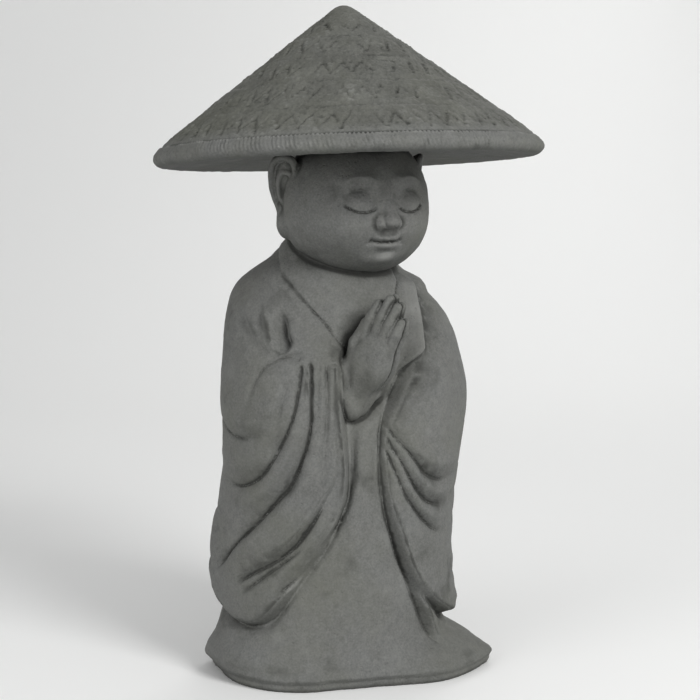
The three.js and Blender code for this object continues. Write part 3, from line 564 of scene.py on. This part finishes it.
def blob(P, c, s):
    q = (P - np.asarray(c, float)) / np.asarray(s, float)
    return np.exp(-(q * q).sum(1))


def head_local(P):
    q = P - HEAD
    c, s = math.cos(HEAD_TURN), math.sin(HEAD_TURN)
    return np.stack([q[:, 0] * c - q[:, 1] * s, q[:, 0] * s + q[:, 1] * c, q[:, 2]], 1)


def head_field(P):
    """A calm child's face with closed eyes, on even, plain proportions."""
    q = head_local(P)
    m = q.copy()
    m[:, 0] = np.abs(m[:, 0])
    d = ellipsoid(q, (0, 0, 0), HEAD_R)
    jaw = ellipsoid(q, (0, 5.0, -15.0), (42.0, 42.0, 30.0))
    d = smin(d, jaw, 12.0)
    # soft masses
    d -= 3.0 * blob(m, (24, 38, -14), (14, 14, 12))       # cheeks
    d += 2.8 * blob(m, (17, 47, 4), (12, 12, 6.5))        # eye hollows
    d -= 1.7 * blob(m, (16, 47, 16), (16, 10, 6))         # brow
    d += 1.0 * blob(q, (0, 50, 13), (5, 10, 6))           # root of the nose
    d -= 2.8 * blob(q, (0, 44, -37), (11, 12, 6.5))       # chin
    d += 1.5 * blob(q, (0, 49, -31.6), (9, 12, 2.6))      # under the lip
    d += 0.9 * blob(m, (13, 45, -24), (4, 10, 9))         # beside the mouth
    # nose
    nose = capsule(q, (0, 43.6, 12), (0, 50.6, -9), 3.4, 4.2)
    nose = smin(nose, ellipsoid(q, (0, 53.2, -11.6), (4.9, 5.0, 4.4)), 3.0)
    nose = smin(nose, ellipsoid(m, (5.9, 49.2, -13.0), (3.5, 4.4, 3.5)), 2.0)
    d = smin(d, nose, 3.4)
    d += 1.3 * blob(m, (3.0, 53.0, -16.6), (1.7, 3.0, 1.3))
    d += 0.7 * np.where(q[:, 1] > 10, np.exp(-((np.hypot(m[:, 0] - 4.6, q[:, 2] + 12.6) - 5.4) / 0.9) ** 2) * smooth(6.6, 9.0, m[:, 0]), 0)
    # closed eyes: one full lid above a long low lash line
    lid = ellipsoid(m, (16.4, 39.8, .4), (9.6, 8.0, 6.6))
    d = smin(d, lid, 3.4)
    front = q[:, 1] > 10
    for line, h, w, ends in (
            ([(6.8, -2.2), (10.4, -4.6), (15.6, -6.0), (21.0, -5.4), (25.6, -3.0), (28.2, -0.6)], 1.9, 0.8, .12),    # lash line
            ([(8.0, -5.6), (12.4, -8.0), (17.8, -8.6), (23.0, -7.2)], 0.45, 1.5, .4),                              # under the eye
            ([(8.6, 5.0), (12.6, 7.4), (17.6, 8.2), (22.8, 6.8), (27.0, 3.4)], 0.75, 1.3, .4),                     # fold of the lid
            ([(5.6, 12.6), (11.0, 15.8), (18.0, 16.8), (25.0, 14.8), (31.0, 10.4)], -1.2, 1.9, .3)):               # brow line
        ld, _, al = line_distance(catmull(line, 22), m[:, 0], m[:, 2])
        d += np.where(front, h * np.exp(-(ld / w) ** 2) * smooth(0, ends, al) * smooth(1, 1 - ends, al), 0)
    # mouth: two full lips, the corners tucked in
    d -= 2.3 * blob(m, (2.8, 49.8, -22.4), (4.8, 8, 2.1))
    d -= 2.7 * blob(q, (0, 49.4, -27.6), (6.6, 8, 2.3))
    for line, h, w in (
            ([(0, -25.2), (2.4, -24.6), (5.4, -25.1), (10.0, -23.8)], 2.1, 0.85),
            ([(0, -17.6), (0.4, -20.8)], 0.8, 1.4),
            ([(10.2, -23.0), (11.4, -25.4)], 0.8, 1.5)):
        ld, _, al = line_distance(catmull(line, 14), m[:, 0], m[:, 2])
        d += np.where(front, h * np.exp(-(ld / w) ** 2), 0)
    # ears
    ear = ear_field(m)
    return smin(d, ear, 1.8)


def ear_field(m):
    """A long lobed ear on the +x side of the head's own axes, turned to the front."""
    # ear axes: w outwards, v forward, u up
    c = np.array([45.6, -8.0, 6.0])
    turn, tilt, lean = 0.62, 10.0 * D2R, 12.0 * D2R
    q = m - c
    w = q[:, 0] * math.cos(turn) + q[:, 1] * math.sin(turn)
    v = -q[:, 0] * math.sin(turn) + q[:, 1] * math.cos(turn)
    u = q[:, 2]
    v, u = v * math.cos(tilt) - u * math.sin(tilt), u * math.cos(tilt) + v * math.sin(tilt)
    w, u = w * math.cos(lean) - u * math.sin(lean), u * math.cos(lean) + w * math.sin(lean)
    E = np.stack([w, v, u], 1)
    plate = ellipsoid(E, (-0.6, 0.0, 5.0), (4.4, 11.5, 20.0))
    lobe = ellipsoid(E, (2.4, 2.6, -20.5), (5.0, 7.8, 10.5))
    d = smin(plate, lobe, 5.0)
    d += 4.4 * blob(E, (4.4, 1.6, 4.5), (4.0, 5.2, 9.5))           # hollow of the ear
    rim = catmull([(5.4, 8.5), (8.2, 15.0), (5.2, 22.4), (-2.2, 24.2), (-9.0, 19.4), (-10.8, 9.0), (-8.4, -2.5), (-4.2, -11.0), (-2.4, -18.0)], 30)
    rd, _, ra = line_distance(rim, E[:, 1], E[:, 2])
    tube = np.sqrt(rd ** 2 + (w - 2.4) ** 2) - (2.7 - 0.7 * ra)
    d = smin(d, tube, 1.4)
    inner = catmull([(3.0, 14.0), (-2.8, 13.4), (-5.4, 5.6), (-3.6, -3.6), (1.2, -8.6)], 20)
    rd, _, ra = line_distance(inner, E[:, 1], E[:, 2])
    d = smin(d, np.sqrt(rd ** 2 + (w - 2.0) ** 2) - 1.8, 1.2)
    d = smin(d, ellipsoid(E, (1.8, 7.4, -2.0), (2.6, 2.6, 4.4)), 1.4)   # tragus
    return d


def neck_field(P):
    return capsule(P, (0, -4, 252), (0, 2, 300), 26.0, 24.0)


# ------------------------------------------------------------------ hands
HAND_AT = np.array([-2.0, 57.0, 225.0])
HAND_YAW, HAND_LEAN = 36.0 * D2R, 24.0 * D2R
HAND_L, HAND_W, HAND_T = 62.0, 29.5, 10.0


def hand_local(P):
    """Own axes of the praying hands: n outwards to the figure's right, c towards the
    chest, l along the fingers."""
    q = P - HAND_AT
    cy, sy = math.cos(HAND_YAW), math.sin(HAND_YAW)
    x = q[:, 0] * cy - q[:, 1] * sy
    f = q[:, 0] * sy + q[:, 1] * cy
    z = q[:, 2]
    cl, sl = math.cos(HAND_LEAN), math.sin(HAND_LEAN)
    l = f * sl + z * cl
    c = -f * cl + z * sl
    return np.stack([-x, c, l + HAND_L * 0.35], 1)


def one_hand(H):
    L, W, T = HAND_L, HAND_W, HAND_T
    t = T * 0.40
    palm = ellipsoid(H, (t, -0.5, L * .27), (T * .64, W * .50, L * .34))
    palm = smin(palm, ellipsoid(H, (t, W * .20, L * .18), (T * .68, W * .26, L * .22)), 4.0)
    palm = smin(palm, ellipsoid(H, (t, -W * .23, L * .20), (T * .58, W * .24, L * .24)), 4.0)
    wrist = capsule(H, (t * .9, 0.0, -L * .34), (t, 0.0, L * .08), 7.4, 7.8)
    d = smin(palm, wrist, 7.0)
    reach = (0.90, 1.00, 0.965, 0.83)
    y0 = (0.345, 0.125, -0.105, -0.325)
    lean = (0.010, 0.000, -0.006, -0.016)
    for top, y, k in zip(reach, y0, lean):
        r = T * (.43 if top > .85 else .375)
        a = (t * .92, W * y, L * .42)
        mid = (t * 1.06, W * (y + k), L * (.42 + (top - .42) * .52))
        b = (t * .74, W * (y + k * 2.2) * .93, L * top - r)
        fg = smin(capsule(H, a, mid, r * 1.02, r * .96), capsule(H, mid, b, r * .96, r * .74), .6)
        d = smin(d, fg, .8)
    th_a, th_m, th_b = (t * .9, W * .38, L * .10), (t * 1.0, W * .50, L * .34), (t * .72, W * .46, L * .58)
    d = smin(d, smin(capsule(H, th_a, th_m, 5.6, 4.6), capsule(H, th_m, th_b, 4.6, 3.5), 1.0), 2.0)
    # knuckles across the back of the hand
    for y in (0.345, 0.125, -0.105, -0.31):
        d -= .45 * blob(H, (T * .95, W * y, L * .44), (2.6, 3.0, 3.4))
    return d


def hands_field(P):
    H = hand_local(P)
    M = H.copy()
    M[:, 0] = np.abs(M[:, 0])
    # both palms meet on the plane, with a fine line between them
    return one_hand(M) + .5 * np.exp(-(M[:, 0] / .8) ** 2) * smooth(-.05 * HAND_L, .12 * HAND_L, H[:, 2])


def arms_field(P):
    """Forearms inside the cuffs."""
    r = capsule(P, (-40, 20, 190), (HAND_AT[0] - 4, 42, 196), 9.0, 7.6)
    r = smin(r, capsule(P, (-22, 41, 209), (-20, 43.5, 195), 9.5, 9.0), 5.0)
    l = capsule(P, (36, 22, 196), (HAND_AT[0] + 5, 38, 197), 8.5, 8.0)
    return smin(r, l, 2.0)


# ------------------------------------------------------------------ whole statue
ROBE = Robe()
HAT = Hat()
NOISE = Noise(SEED)


def field(P, fine=True):
    P = np.asarray(P, float)
    out = np.full(len(P), 40.0)
    z = P[:, 2]
    lo = z < 312
    if lo.any():
        out[lo] = ROBE.field(P[lo])
    m = (z > 240) & (z < 372) & (np.hypot(P[:, 0], P[:, 1] - 8) < 82)
    if m.any():
        d = head_field(P[m])
        d = smin(d, neck_field(P[m]), 5.0)
        b = out[m]
        out[m] = smin(b, d, 0.9) + 1.3 * np.exp(-(b * b + d * d) / 3.2) * (P[m, 2] < 305)
    m = (z > 176) & (z < 276) & (P[:, 1] > 4) & (np.abs(P[:, 0] + 2) < 62)
    if m.any():
        d = smin(hands_field(P[m]), arms_field(P[m]), 5.0)
        b = out[m]
        # the wrist runs softly into the right cuff
        soft = np.exp(-((P[m, 0] + 25) / 7.0) ** 2 - ((P[m, 2] - 205) / 11.0) ** 2)
        out[m] = smin(b, d, 1.4 + 4.5 * soft) + 0.5 * (1 - soft) * np.exp(-(b * b + d * d) / 2.4)
    m = z > 322
    if m.any():
        out[m] = smin(out[m], HAT.field(P[m]), 2.2)
    if fine:
        # the casting's own unevenness: slow hand-worked waves and coarse grain
        n = 0.32 * NOISE(P, 17.0) + 0.22 * NOISE(P + 91.0, 7.0) + 0.12 * NOISE(P + 37.0, 3.1)
        foot = smooth(0.0, 3.0, z)
        out = out - n * foot
    return np.maximum(out, -z)


POOL = ThreadPoolExecutor(4)


def spread(fn, P, size=60000):
    """Evaluate in parallel; every part is independent, so the result never changes."""
    parts = np.array_split(P, max(1, len(P) // size))
    return np.concatenate(list(POOL.map(fn, parts)))


def build_mesh(voxel):
    """Surface nets on a sparse set of blocks."""
    lo = np.array([-136.0, -136.0, -2.5 * voxel])
    hi = np.array([136.0, 136.0, 454.0])
    B1, B2 = 16, 4
    nb = np.ceil((hi - lo) / (voxel * B1)).astype(int)
    n = nb * B1 + 1
    rough = lambda C: field(C, False)

    def near(idx, B):
        f = spread(rough, lo + voxel * B * (idx + 0.5))
        reach = voxel * B * 0.5 * math.sqrt(3) * 1.25 + 2.2
        return f, np.abs(f) < reach

    idx = np.stack(np.unravel_index(np.arange(nb.prod()), tuple(nb)), 1)
    f, keep = near(idx, B1)
    V = np.full(tuple(n), 9.0, F32)
    for i, j, k in idx[(f < 0) & ~keep]:
        V[i * B1:i * B1 + B1 + 1, j * B1:j * B1 + B1 + 1, k * B1:k * B1 + B1 + 1] = -9.0
    m = B1 // B2
    sub = np.stack(np.meshgrid(*(np.arange(m),) * 3, indexing="ij"), -1).reshape(-1, 3)
    idx = (idx[keep][:, None, :] * m + sub[None]).reshape(-1, 3)
    f, keep = near(idx, B2)
    off = np.stack(np.meshgrid(*(np.arange(B2 + 1),) * 3, indexing="ij"), -1).reshape(-1, 3)
    full = (idx[(f < 0) & ~keep][:, None, :] * B2 + off[None]).reshape(-1, 3)
    V[full[:, 0], full[:, 1], full[:, 2]] = -9.0
    live = np.zeros(tuple(n), bool)
    g = (idx[keep][:, None, :] * B2 + off[None]).reshape(-1, 3)
    live[g[:, 0], g[:, 1], g[:, 2]] = True
    g = np.argwhere(live)
    V[live] = spread(rough, lo + voxel * g).astype(F32)
    print("grid points", len(g))
    S = V < 0
    # one vertex in every cell that the surface crosses
    c = S[:-1, :-1, :-1].astype(np.int8)
    tot = np.zeros_like(c)
    for a in (0, 1):
        for b in (0, 1):
            for d in (0, 1):
                tot += S[a:S.shape[0] - 1 + a, b:S.shape[1] - 1 + b, d:S.shape[2] - 1 + d]
    cells = np.argwhere((tot > 0) & (tot < 8))
    cid = -np.ones(tot.shape, np.int32)
    cid[cells[:, 0], cells[:, 1], cells[:, 2]] = np.arange(len(cells))
    acc = np.zeros((len(cells), 3))
    cnt = np.zeros(len(cells))
    corners = {}
    for a in (0, 1):
        for b in (0, 1):
            for d in (0, 1):
                corners[(a, b, d)] = V[cells[:, 0] + a, cells[:, 1] + b, cells[:, 2] + d].astype(float)
    for p in corners:
        for axis in range(3):
            if p[axis] == 0:
                q = list(p)
                q[axis] = 1
                va, vb = corners[p], corners[tuple(q)]
                cross = (va < 0) != (vb < 0)
                t = np.where(cross, va / np.where(cross, va - vb, 1.0), 0)
                pt = np.tile(np.array(p, float), (len(cells), 1))
                pt[:, axis] = t
                acc += pt * cross[:, None]
                cnt += cross
    verts = lo + voxel * (cells + acc / cnt[:, None])
    # a quad round every grid edge that the surface crosses
    quads = []
    for axis in range(3):
        sl0 = [slice(1, -1)] * 3
        sl0[axis] = slice(0, -1)
        sl1 = [slice(1, -1)] * 3
        sl1[axis] = slice(1, None)
        a, b = S[tuple(sl0)], S[tuple(sl1)]
        e = np.argwhere(a != b)
        off0 = np.array([1, 1, 1])
        off0[axis] = 0
        g = e + off0
        flip = a[e[:, 0], e[:, 1], e[:, 2]]
        u, v = (axis + 1) % 3, (axis + 2) % 3
        du, dv = np.zeros(3, int), np.zeros(3, int)
        du[u], dv[v] = 1, 1
        q = np.stack([cid[tuple((g - du - dv).T)], cid[tuple((g - dv).T)], cid[tuple(g.T)], cid[tuple((g - du).T)]], 1)
        q[~flip] = q[~flip][:, ::-1]
        quads.append(q)
    quads = np.concatenate(quads)
    return verts, quads


def pull(P, limit=0.8, h=0.3):
    """Pull points onto the true surface, fine relief included."""
    f = field(P)
    g = np.zeros_like(P)
    for k in range(3):
        e = np.zeros(3)
        e[k] = h
        g[:, k] = (field(P + e, False) - field(P - e, False)) / (2 * h)
    n2 = (g * g).sum(1)
    step = -(f / np.maximum(n2, 0.25))[:, None] * g
    ln = np.linalg.norm(step, axis=1, keepdims=True)
    step *= np.minimum(1.0, limit / np.maximum(ln, 1e-9))
    Q = P + step
    Q[:, 2] = np.maximum(Q[:, 2], 0.0)
    return Q


def to_scene(P):
    """Figure axes in mm to scene axes in metres, with the rim's centre over the origin."""
    return np.stack([P[:, 0] - RING[0], -(P[:, 1] - RING[1]), P[:, 2]], 1) * 0.001


def keep_outer(me):
    """Drop the small closed bubbles inside the stone, so one surface is left."""
    e = np.empty(len(me.edges) * 2, np.int32)
    me.edges.foreach_get("vertices", e)
    e = e.reshape(-1, 2)
    label = np.arange(len(me.vertices))
    while True:
        low = np.minimum(label[e[:, 0]], label[e[:, 1]])
        new = label.copy()
        np.minimum.at(new, e[:, 0], low)
        np.minimum.at(new, e[:, 1], low)
        new = new[new]
        if (new == label).all():
            break
        label = new
    main = np.bincount(label).argmax()
    bm = bmesh.new()
    bm.from_mesh(me)
    loose = [v for v in bm.verts if label[v.index] != main]
    print("loose points dropped", len(loose))
    bmesh.ops.delete(bm, geom=loose, context="VERTS")
    bm.to_mesh(me)
    bm.free()


def make_statue():
    import time
    t0 = time.time()
    verts, quads = build_mesh(VOXEL)
    print("surface", len(verts), len(quads), round(time.time() - t0, 1))
    verts = spread(pull, verts, 30000)
    print("projected", round(time.time() - t0, 1))
    low = verts[:, 2] < VOXEL * 0.6
    verts[low, 2] = 0.0
    me = bpy.data.meshes.new("jizo_stone")
    # the mirrored front axis turns the faces over, so their order is turned back
    me.from_pydata(to_scene(verts).tolist(), [], quads[:, ::-1].tolist())
    me.update()
    ob = bpy.data.objects.new("jizo_stone", me)
    bpy.context.scene.collection.objects.link(ob)
    bpy.context.view_layer.objects.active = ob
    tri = ob.modifiers.new("tri", "TRIANGULATE")
    dec = ob.modifiers.new("dec", "DECIMATE")
    dec.ratio = TRIANGLES / (2.0 * len(quads))
    dg = bpy.context.evaluated_depsgraph_get()
    new = bpy.data.meshes.new_from_object(ob.evaluated_get(dg))
    ob.modifiers.clear()
    ob.data = new
    bpy.data.meshes.remove(me)
    new.name = "jizo_stone"
    keep_outer(new)
    print("decimated", len(new.polygons), round(time.time() - t0, 1))
    return ob


statue = make_statue()
me = statue.data
nv = len(me.vertices)
co = np.empty(nv * 3)
me.vertices.foreach_get("co", co)
co = co.reshape(-1, 3)
fig = np.stack([co[:, 0] * 1000.0 + RING[0], -co[:, 1] * 1000.0 + RING[1], co[:, 2] * 1000.0], 1)
me.polygons.foreach_set("use_smooth", np.ones(len(me.polygons), bool))

# how open or hollow the surface is at each point: painted shade in folds and hollows (partly dirt in the crevices),
# painted shade where the surface is walled in or looks down, and worn edges
nrm = np.empty(nv * 3)
me.vertices.foreach_get("normal", nrm)
nrm = nrm.reshape(-1, 3)
nf = np.stack([nrm[:, 0], -nrm[:, 1], nrm[:, 2]], 1)
rough = lambda P: field(P, False)
small = spread(rough, fig + 1.6 * nf) / 1.6 - 1.0
mid = spread(rough, fig + 4.5 * nf) / 4.5 - 1.0
wide = spread(rough, fig + 10.0 * nf) / 10.0 - 1.0
inner = 1.0 + spread(rough, fig - 2.2 * nf) / 2.2
hollow = np.clip(-(small * 1.1 + mid * 0.8), 0, 1)
raised = np.clip(inner * 1.6, 0, 1)
# painted highlight: the lapel's crest is painted paler, as if lit, and the painted shade on it is eased
crest = catmull([(66 * MM_PER_DEG, 270), (50 * MM_PER_DEG, 255), (42.5 * MM_PER_DEG, 240), (35 * MM_PER_DEG, 225), (26 * MM_PER_DEG, 209)], 20)
theta = np.arctan2(fig[:, 0], fig[:, 1]) / D2R * MM_PER_DEG
cd, _, ca = line_distance(crest, theta, fig[:, 2])
painted_crest_highlight = np.exp(-(cd / 6.5) ** 2) * smooth(0, .2, ca) * smooth(1, .7, ca) * (np.hypot(fig[:, 0], fig[:, 1]) < 72) * (nf[:, 1] > 0)
raised = np.clip(raised + 1.0 * painted_crest_highlight, 0, 1)
hollow = hollow * (1 - 0.6 * painted_crest_highlight)
wide = wide * (1 - 0.8 * painted_crest_highlight)
attr = me.color_attributes.new("relief", "FLOAT_COLOR", "POINT")
buf = np.ones((nv, 4), F32)
buf[:, 0], buf[:, 1] = hollow, raised
# painted shade: how walled in the surface is, used to darken the stone
buf[:, 2] = np.clip(-wide, 0, 1)
# painted shade: faces that look down are painted darker in the stone
buf[:, 3] = np.clip(-nf[:, 2] * 1.3 - 0.15, 0, 1)      # faces that look down
attr.data.foreach_set("color", buf.ravel())

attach(statue, "root")
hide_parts("jizo_statue")


# ------------------------------------------------------------------ stone
def stone_material():
    m = bpy.data.materials.new("cast_stone")
    m.use_nodes = True
    nt = m.node_tree
    nt.nodes.clear()
    N, L = nt.nodes.new, nt.links.new

    def node(kind, **kw):
        n = N(kind)
        for k, v in kw.items():
            setattr(n, k, v)
        return n

    def noise(scale, detail=4.0, rough=0.55, seed=0.0):
        n = node("ShaderNodeTexNoise", noise_dimensions="4D")
        n.inputs["W"].default_value = seed
        n.inputs["Scale"].default_value = scale
        n.inputs["Detail"].default_value = detail
        n.inputs["Roughness"].default_value = rough
        L(tc.outputs["Object"], n.inputs["Vector"])
        return n.outputs["Fac"]

    def ramp(src, stops):
        r = node("ShaderNodeValToRGB")
        e = r.color_ramp.elements
        while len(e) < len(stops):
            e.new(0.5)
        for el, (p, c) in zip(e, stops):
            el.position = p
            el.color = (c, c, c, 1) if isinstance(c, float) else (*c, 1)
        L(src, r.inputs["Fac"])
        return r.outputs["Color"]

    def mix(kind, fac, a, b):
        x = node("ShaderNodeMix", data_type="RGBA", blend_type=kind)
        for s, v in ((0, fac), (6, a), (7, b)):
            if hasattr(v, "links"):
                L(v, x.inputs[s])
            else:
                x.inputs[s].default_value = v if s == 0 else (*v, 1)
        return x.outputs[2]

    def maths(op, a, b=0.0):
        x = node("ShaderNodeMath", operation=op)
        for s, v in ((0, a), (1, b)):
            if hasattr(v, "links"):
                L(v, x.inputs[s])
            else:
                x.inputs[s].default_value = v
        return x.outputs[0]

    tc = node("ShaderNodeTexCoord")
    out = node("ShaderNodeOutputMaterial")
    bsdf = node("ShaderNodeBsdfPrincipled")
    L(bsdf.outputs[0], out.inputs[0])
    rel = node("ShaderNodeVertexColor", layer_name="relief")
    sep = node("ShaderNodeSeparateColor")
    L(rel.outputs["Color"], sep.inputs[0])

    cloud = ramp(noise(9.0, 5.0, .6, 1.0), [(.30, 0.0), (.70, 1.0)])
    blot = ramp(noise(34.0, 5.0, .6, 2.0), [(.34, 0.0), (.68, 1.0)])
    speck = ramp(noise(210.0, 4.0, .6, 3.0), [(.38, 0.0), (.64, 1.0)])
    grain = noise(720.0, 3.0, .6, 4.0)
    col = mix("MIX", cloud, (.122, .124, .114), (.152, .153, .147))
    col = mix("MIX", blot, col, (.142, .145, .139))
    col = mix("MIX", maths("MULTIPLY", speck, .30), col, (.205, .205, .195))
    col = mix("MULTIPLY", .62, col, ramp(grain, [(.25, .60), (.75, 1.28)]))
    moss = maths("MULTIPLY", ramp(noise(14.0, 5.0, .62, 7.0), [(.46, 0.0), (.70, 1.0)]), .45)
    col = mix("MIX", moss, col, (.128, .131, .104))
    # painted shade: the cone of the hat is painted darker and a little olive, standing in for shade the lighting does
    # not give it, with a mottled uneven stone tone
    xyz = node("ShaderNodeSeparateXYZ")
    L(tc.outputs["Object"], xyz.inputs[0])
    reach = maths("SQRT", maths("ADD", maths("POWER", xyz.outputs[0], 2.0), maths("POWER", xyz.outputs[1], 2.0)))
    hat_cone_shade = maths("MULTIPLY", ramp(xyz.outputs[2], [(.352, 0.0), (.360, 1.0)]), ramp(reach, [(.119, 1.0), (.124, 0.0)]))
    mottle = ramp(noise(48.0, 6.0, .68, 11.0), [(.32, .70), (.66, 1.06)])
    col = mix("MULTIPLY", hat_cone_shade, col, mix("MULTIPLY", 1.0, mottle, (.90, .90, .85)))
    # painted shade: hollows and creases are painted nearly black, partly dirt in the crevices
    crevice_dirt_and_shade = ramp(sep.outputs[0], [(.13, 0.0), (.60, 1.0)])
    col = mix("MIX", maths("MULTIPLY", crevice_dirt_and_shade, .72), col, (.034, .035, .031))
    # painted shade: places walled in by nearby stone are painted darker
    col = mix("MULTIPLY", maths("MULTIPLY", sep.outputs[2], .55), col, (.55, .55, .54))
    # painted shade: faces that look down, such as the hat's underside, are painted darker
    col = mix("MULTIPLY", maths("MULTIPLY", rel.outputs["Alpha"], .70), col, (.36, .37, .36))
    # worn edges painted paler, and the painted highlight on the lapel's crest
    edge = ramp(sep.outputs[1], [(.12, 0.0), (.62, 1.0)])
    wear_and_crest_highlight = maths("MULTIPLY", edge, ramp(noise(90.0, 4.0, .6, 5.0), [(.30, .25), (.62, 1.0)]))
    col = mix("MIX", maths("MULTIPLY", wear_and_crest_highlight, .50), col, (.262, .264, .250))
    L(col, bsdf.inputs["Base Color"])
    L(ramp(noise(60.0, 4.0, .6, 6.0), [(.3, .80), (.7, .95)]), bsdf.inputs["Roughness"])
    bsdf.inputs["Specular IOR Level"].default_value = 0.32

    h = maths("ADD", maths("MULTIPLY", noise(260.0, 4.0, .62, 8.0), .75), maths("MULTIPLY", noise(900.0, 3.0, .6, 9.0), .35))
    pit = ramp(noise(330.0, 2.0, .5, 10.0), [(.26, 0.0), (.37, 1.0)])
    h = maths("ADD", h, maths("MULTIPLY", pit, .55))
    bump = node("ShaderNodeBump")
    bump.inputs["Strength"].default_value = 0.75
    bump.inputs["Distance"].default_value = 0.0009
    L(h, bump.inputs["Height"])
    L(bump.outputs[0], bsdf.inputs["Normal"])
    return m


me.materials.clear()
me.materials.append(stone_material())

# ------------------------------------------------------------------ studio
floor = bpy.data.meshes.new("studio_floor")
prof = [(-2.2, 0.0), (1.1, 0.0)]
for i in range(1, 13):
    a = i / 12 * math.pi / 2
    prof.append((1.1 + 0.8 * math.sin(a), 0.8 - 0.8 * math.cos(a)))
prof.append((1.9, 3.2))
AZ = -22.0 * D2R
fv, ff = [], []
for i, (y, z) in enumerate(prof):
    for x in (-3.5, 3.5):
        fv.append((x * math.cos(AZ) - y * math.sin(AZ), x * math.sin(AZ) + y * math.cos(AZ), z - 0.0002))
for i in range(len(prof) - 1):
    ff.append((2 * i, 2 * i + 1, 2 * i + 3, 2 * i + 2))
floor.from_pydata(fv, [], ff)
floor.polygons.foreach_set("use_smooth", np.ones(len(ff), bool))
floor_ob = bpy.data.objects.new("studio_floor", floor)
bpy.context.scene.collection.objects.link(floor_ob)
fm = bpy.data.materials.new("studio_floor")
fm.use_nodes = True
b = fm.node_tree.nodes["Principled BSDF"]
b.inputs["Base Color"].default_value = (.90, .90, .89, 1)
b.inputs["Roughness"].default_value = 0.85
floor.materials.append(fm)


def area(name, az, el, dist, size, power, target=(0, 0, .22), colour=(1, 1, 1)):
    d = bpy.data.lights.new(name, "AREA")
    d.shape = "DISK"
    d.size = size
    d.energy = power
    d.color = colour
    o = bpy.data.objects.new(name, d)
    a, e = az * D2R, el * D2R
    pos = np.array(target) + dist * np.array([math.sin(a) * math.cos(e), -math.cos(a) * math.cos(e), math.sin(e)])
    o.location = pos
    from mathutils import Vector
    o.rotation_euler = (Vector(target) - Vector(pos)).to_track_quat("-Z", "Y").to_euler()
    bpy.context.scene.collection.objects.link(o)
    return o


area("key", -22 + 42, 30, 1.9, 0.8, 24.5)
area("fill", -22 - 48, 16, 2.1, 1.5, 13.0)
area("top", -22, 66, 1.8, 1.1, 1.6)
area("back", -22 + 165, 30, 2.0, 1.0, 7.0)
w = bpy.data.worlds.new("studio")
bpy.context.scene.world = w
w.use_nodes = True
w.node_tree.nodes["Background"].inputs[0].default_value = (.93, .94, .95, 1)
w.node_tree.nodes["Background"].inputs[1].default_value = 0.38

# ------------------------------------------------------------------ camera
UNIT = 0.0006711                 # metres for each pixel at the axis
DIST, EYE, PITCH, FOCAL = 1600.0, 520.0, math.atan(191.7 / 1588.5), 1588.5
cam = bpy.data.cameras.new("camera")
cam.sensor_width = 36.0
cam.lens = FOCAL / 700.0 * 36.0
cam.clip_end = 50.0
cob = bpy.data.objects.new("camera", cam)
right = np.array([math.cos(AZ), math.sin(AZ), 0.0])
eye = np.array([math.sin(AZ) * DIST, -math.cos(AZ) * DIST, EYE]) + right * 3.0
cob.location = eye * UNIT + np.array([-RING[0], RING[1], 0.0]) * 0.001
cob.rotation_euler = (math.pi / 2 - PITCH, 0.0, AZ)
bpy.context.scene.collection.objects.link(cob)
bpy.context.scene.camera = cob
bpy.context.scene.view_settings.view_transform = "Standard"
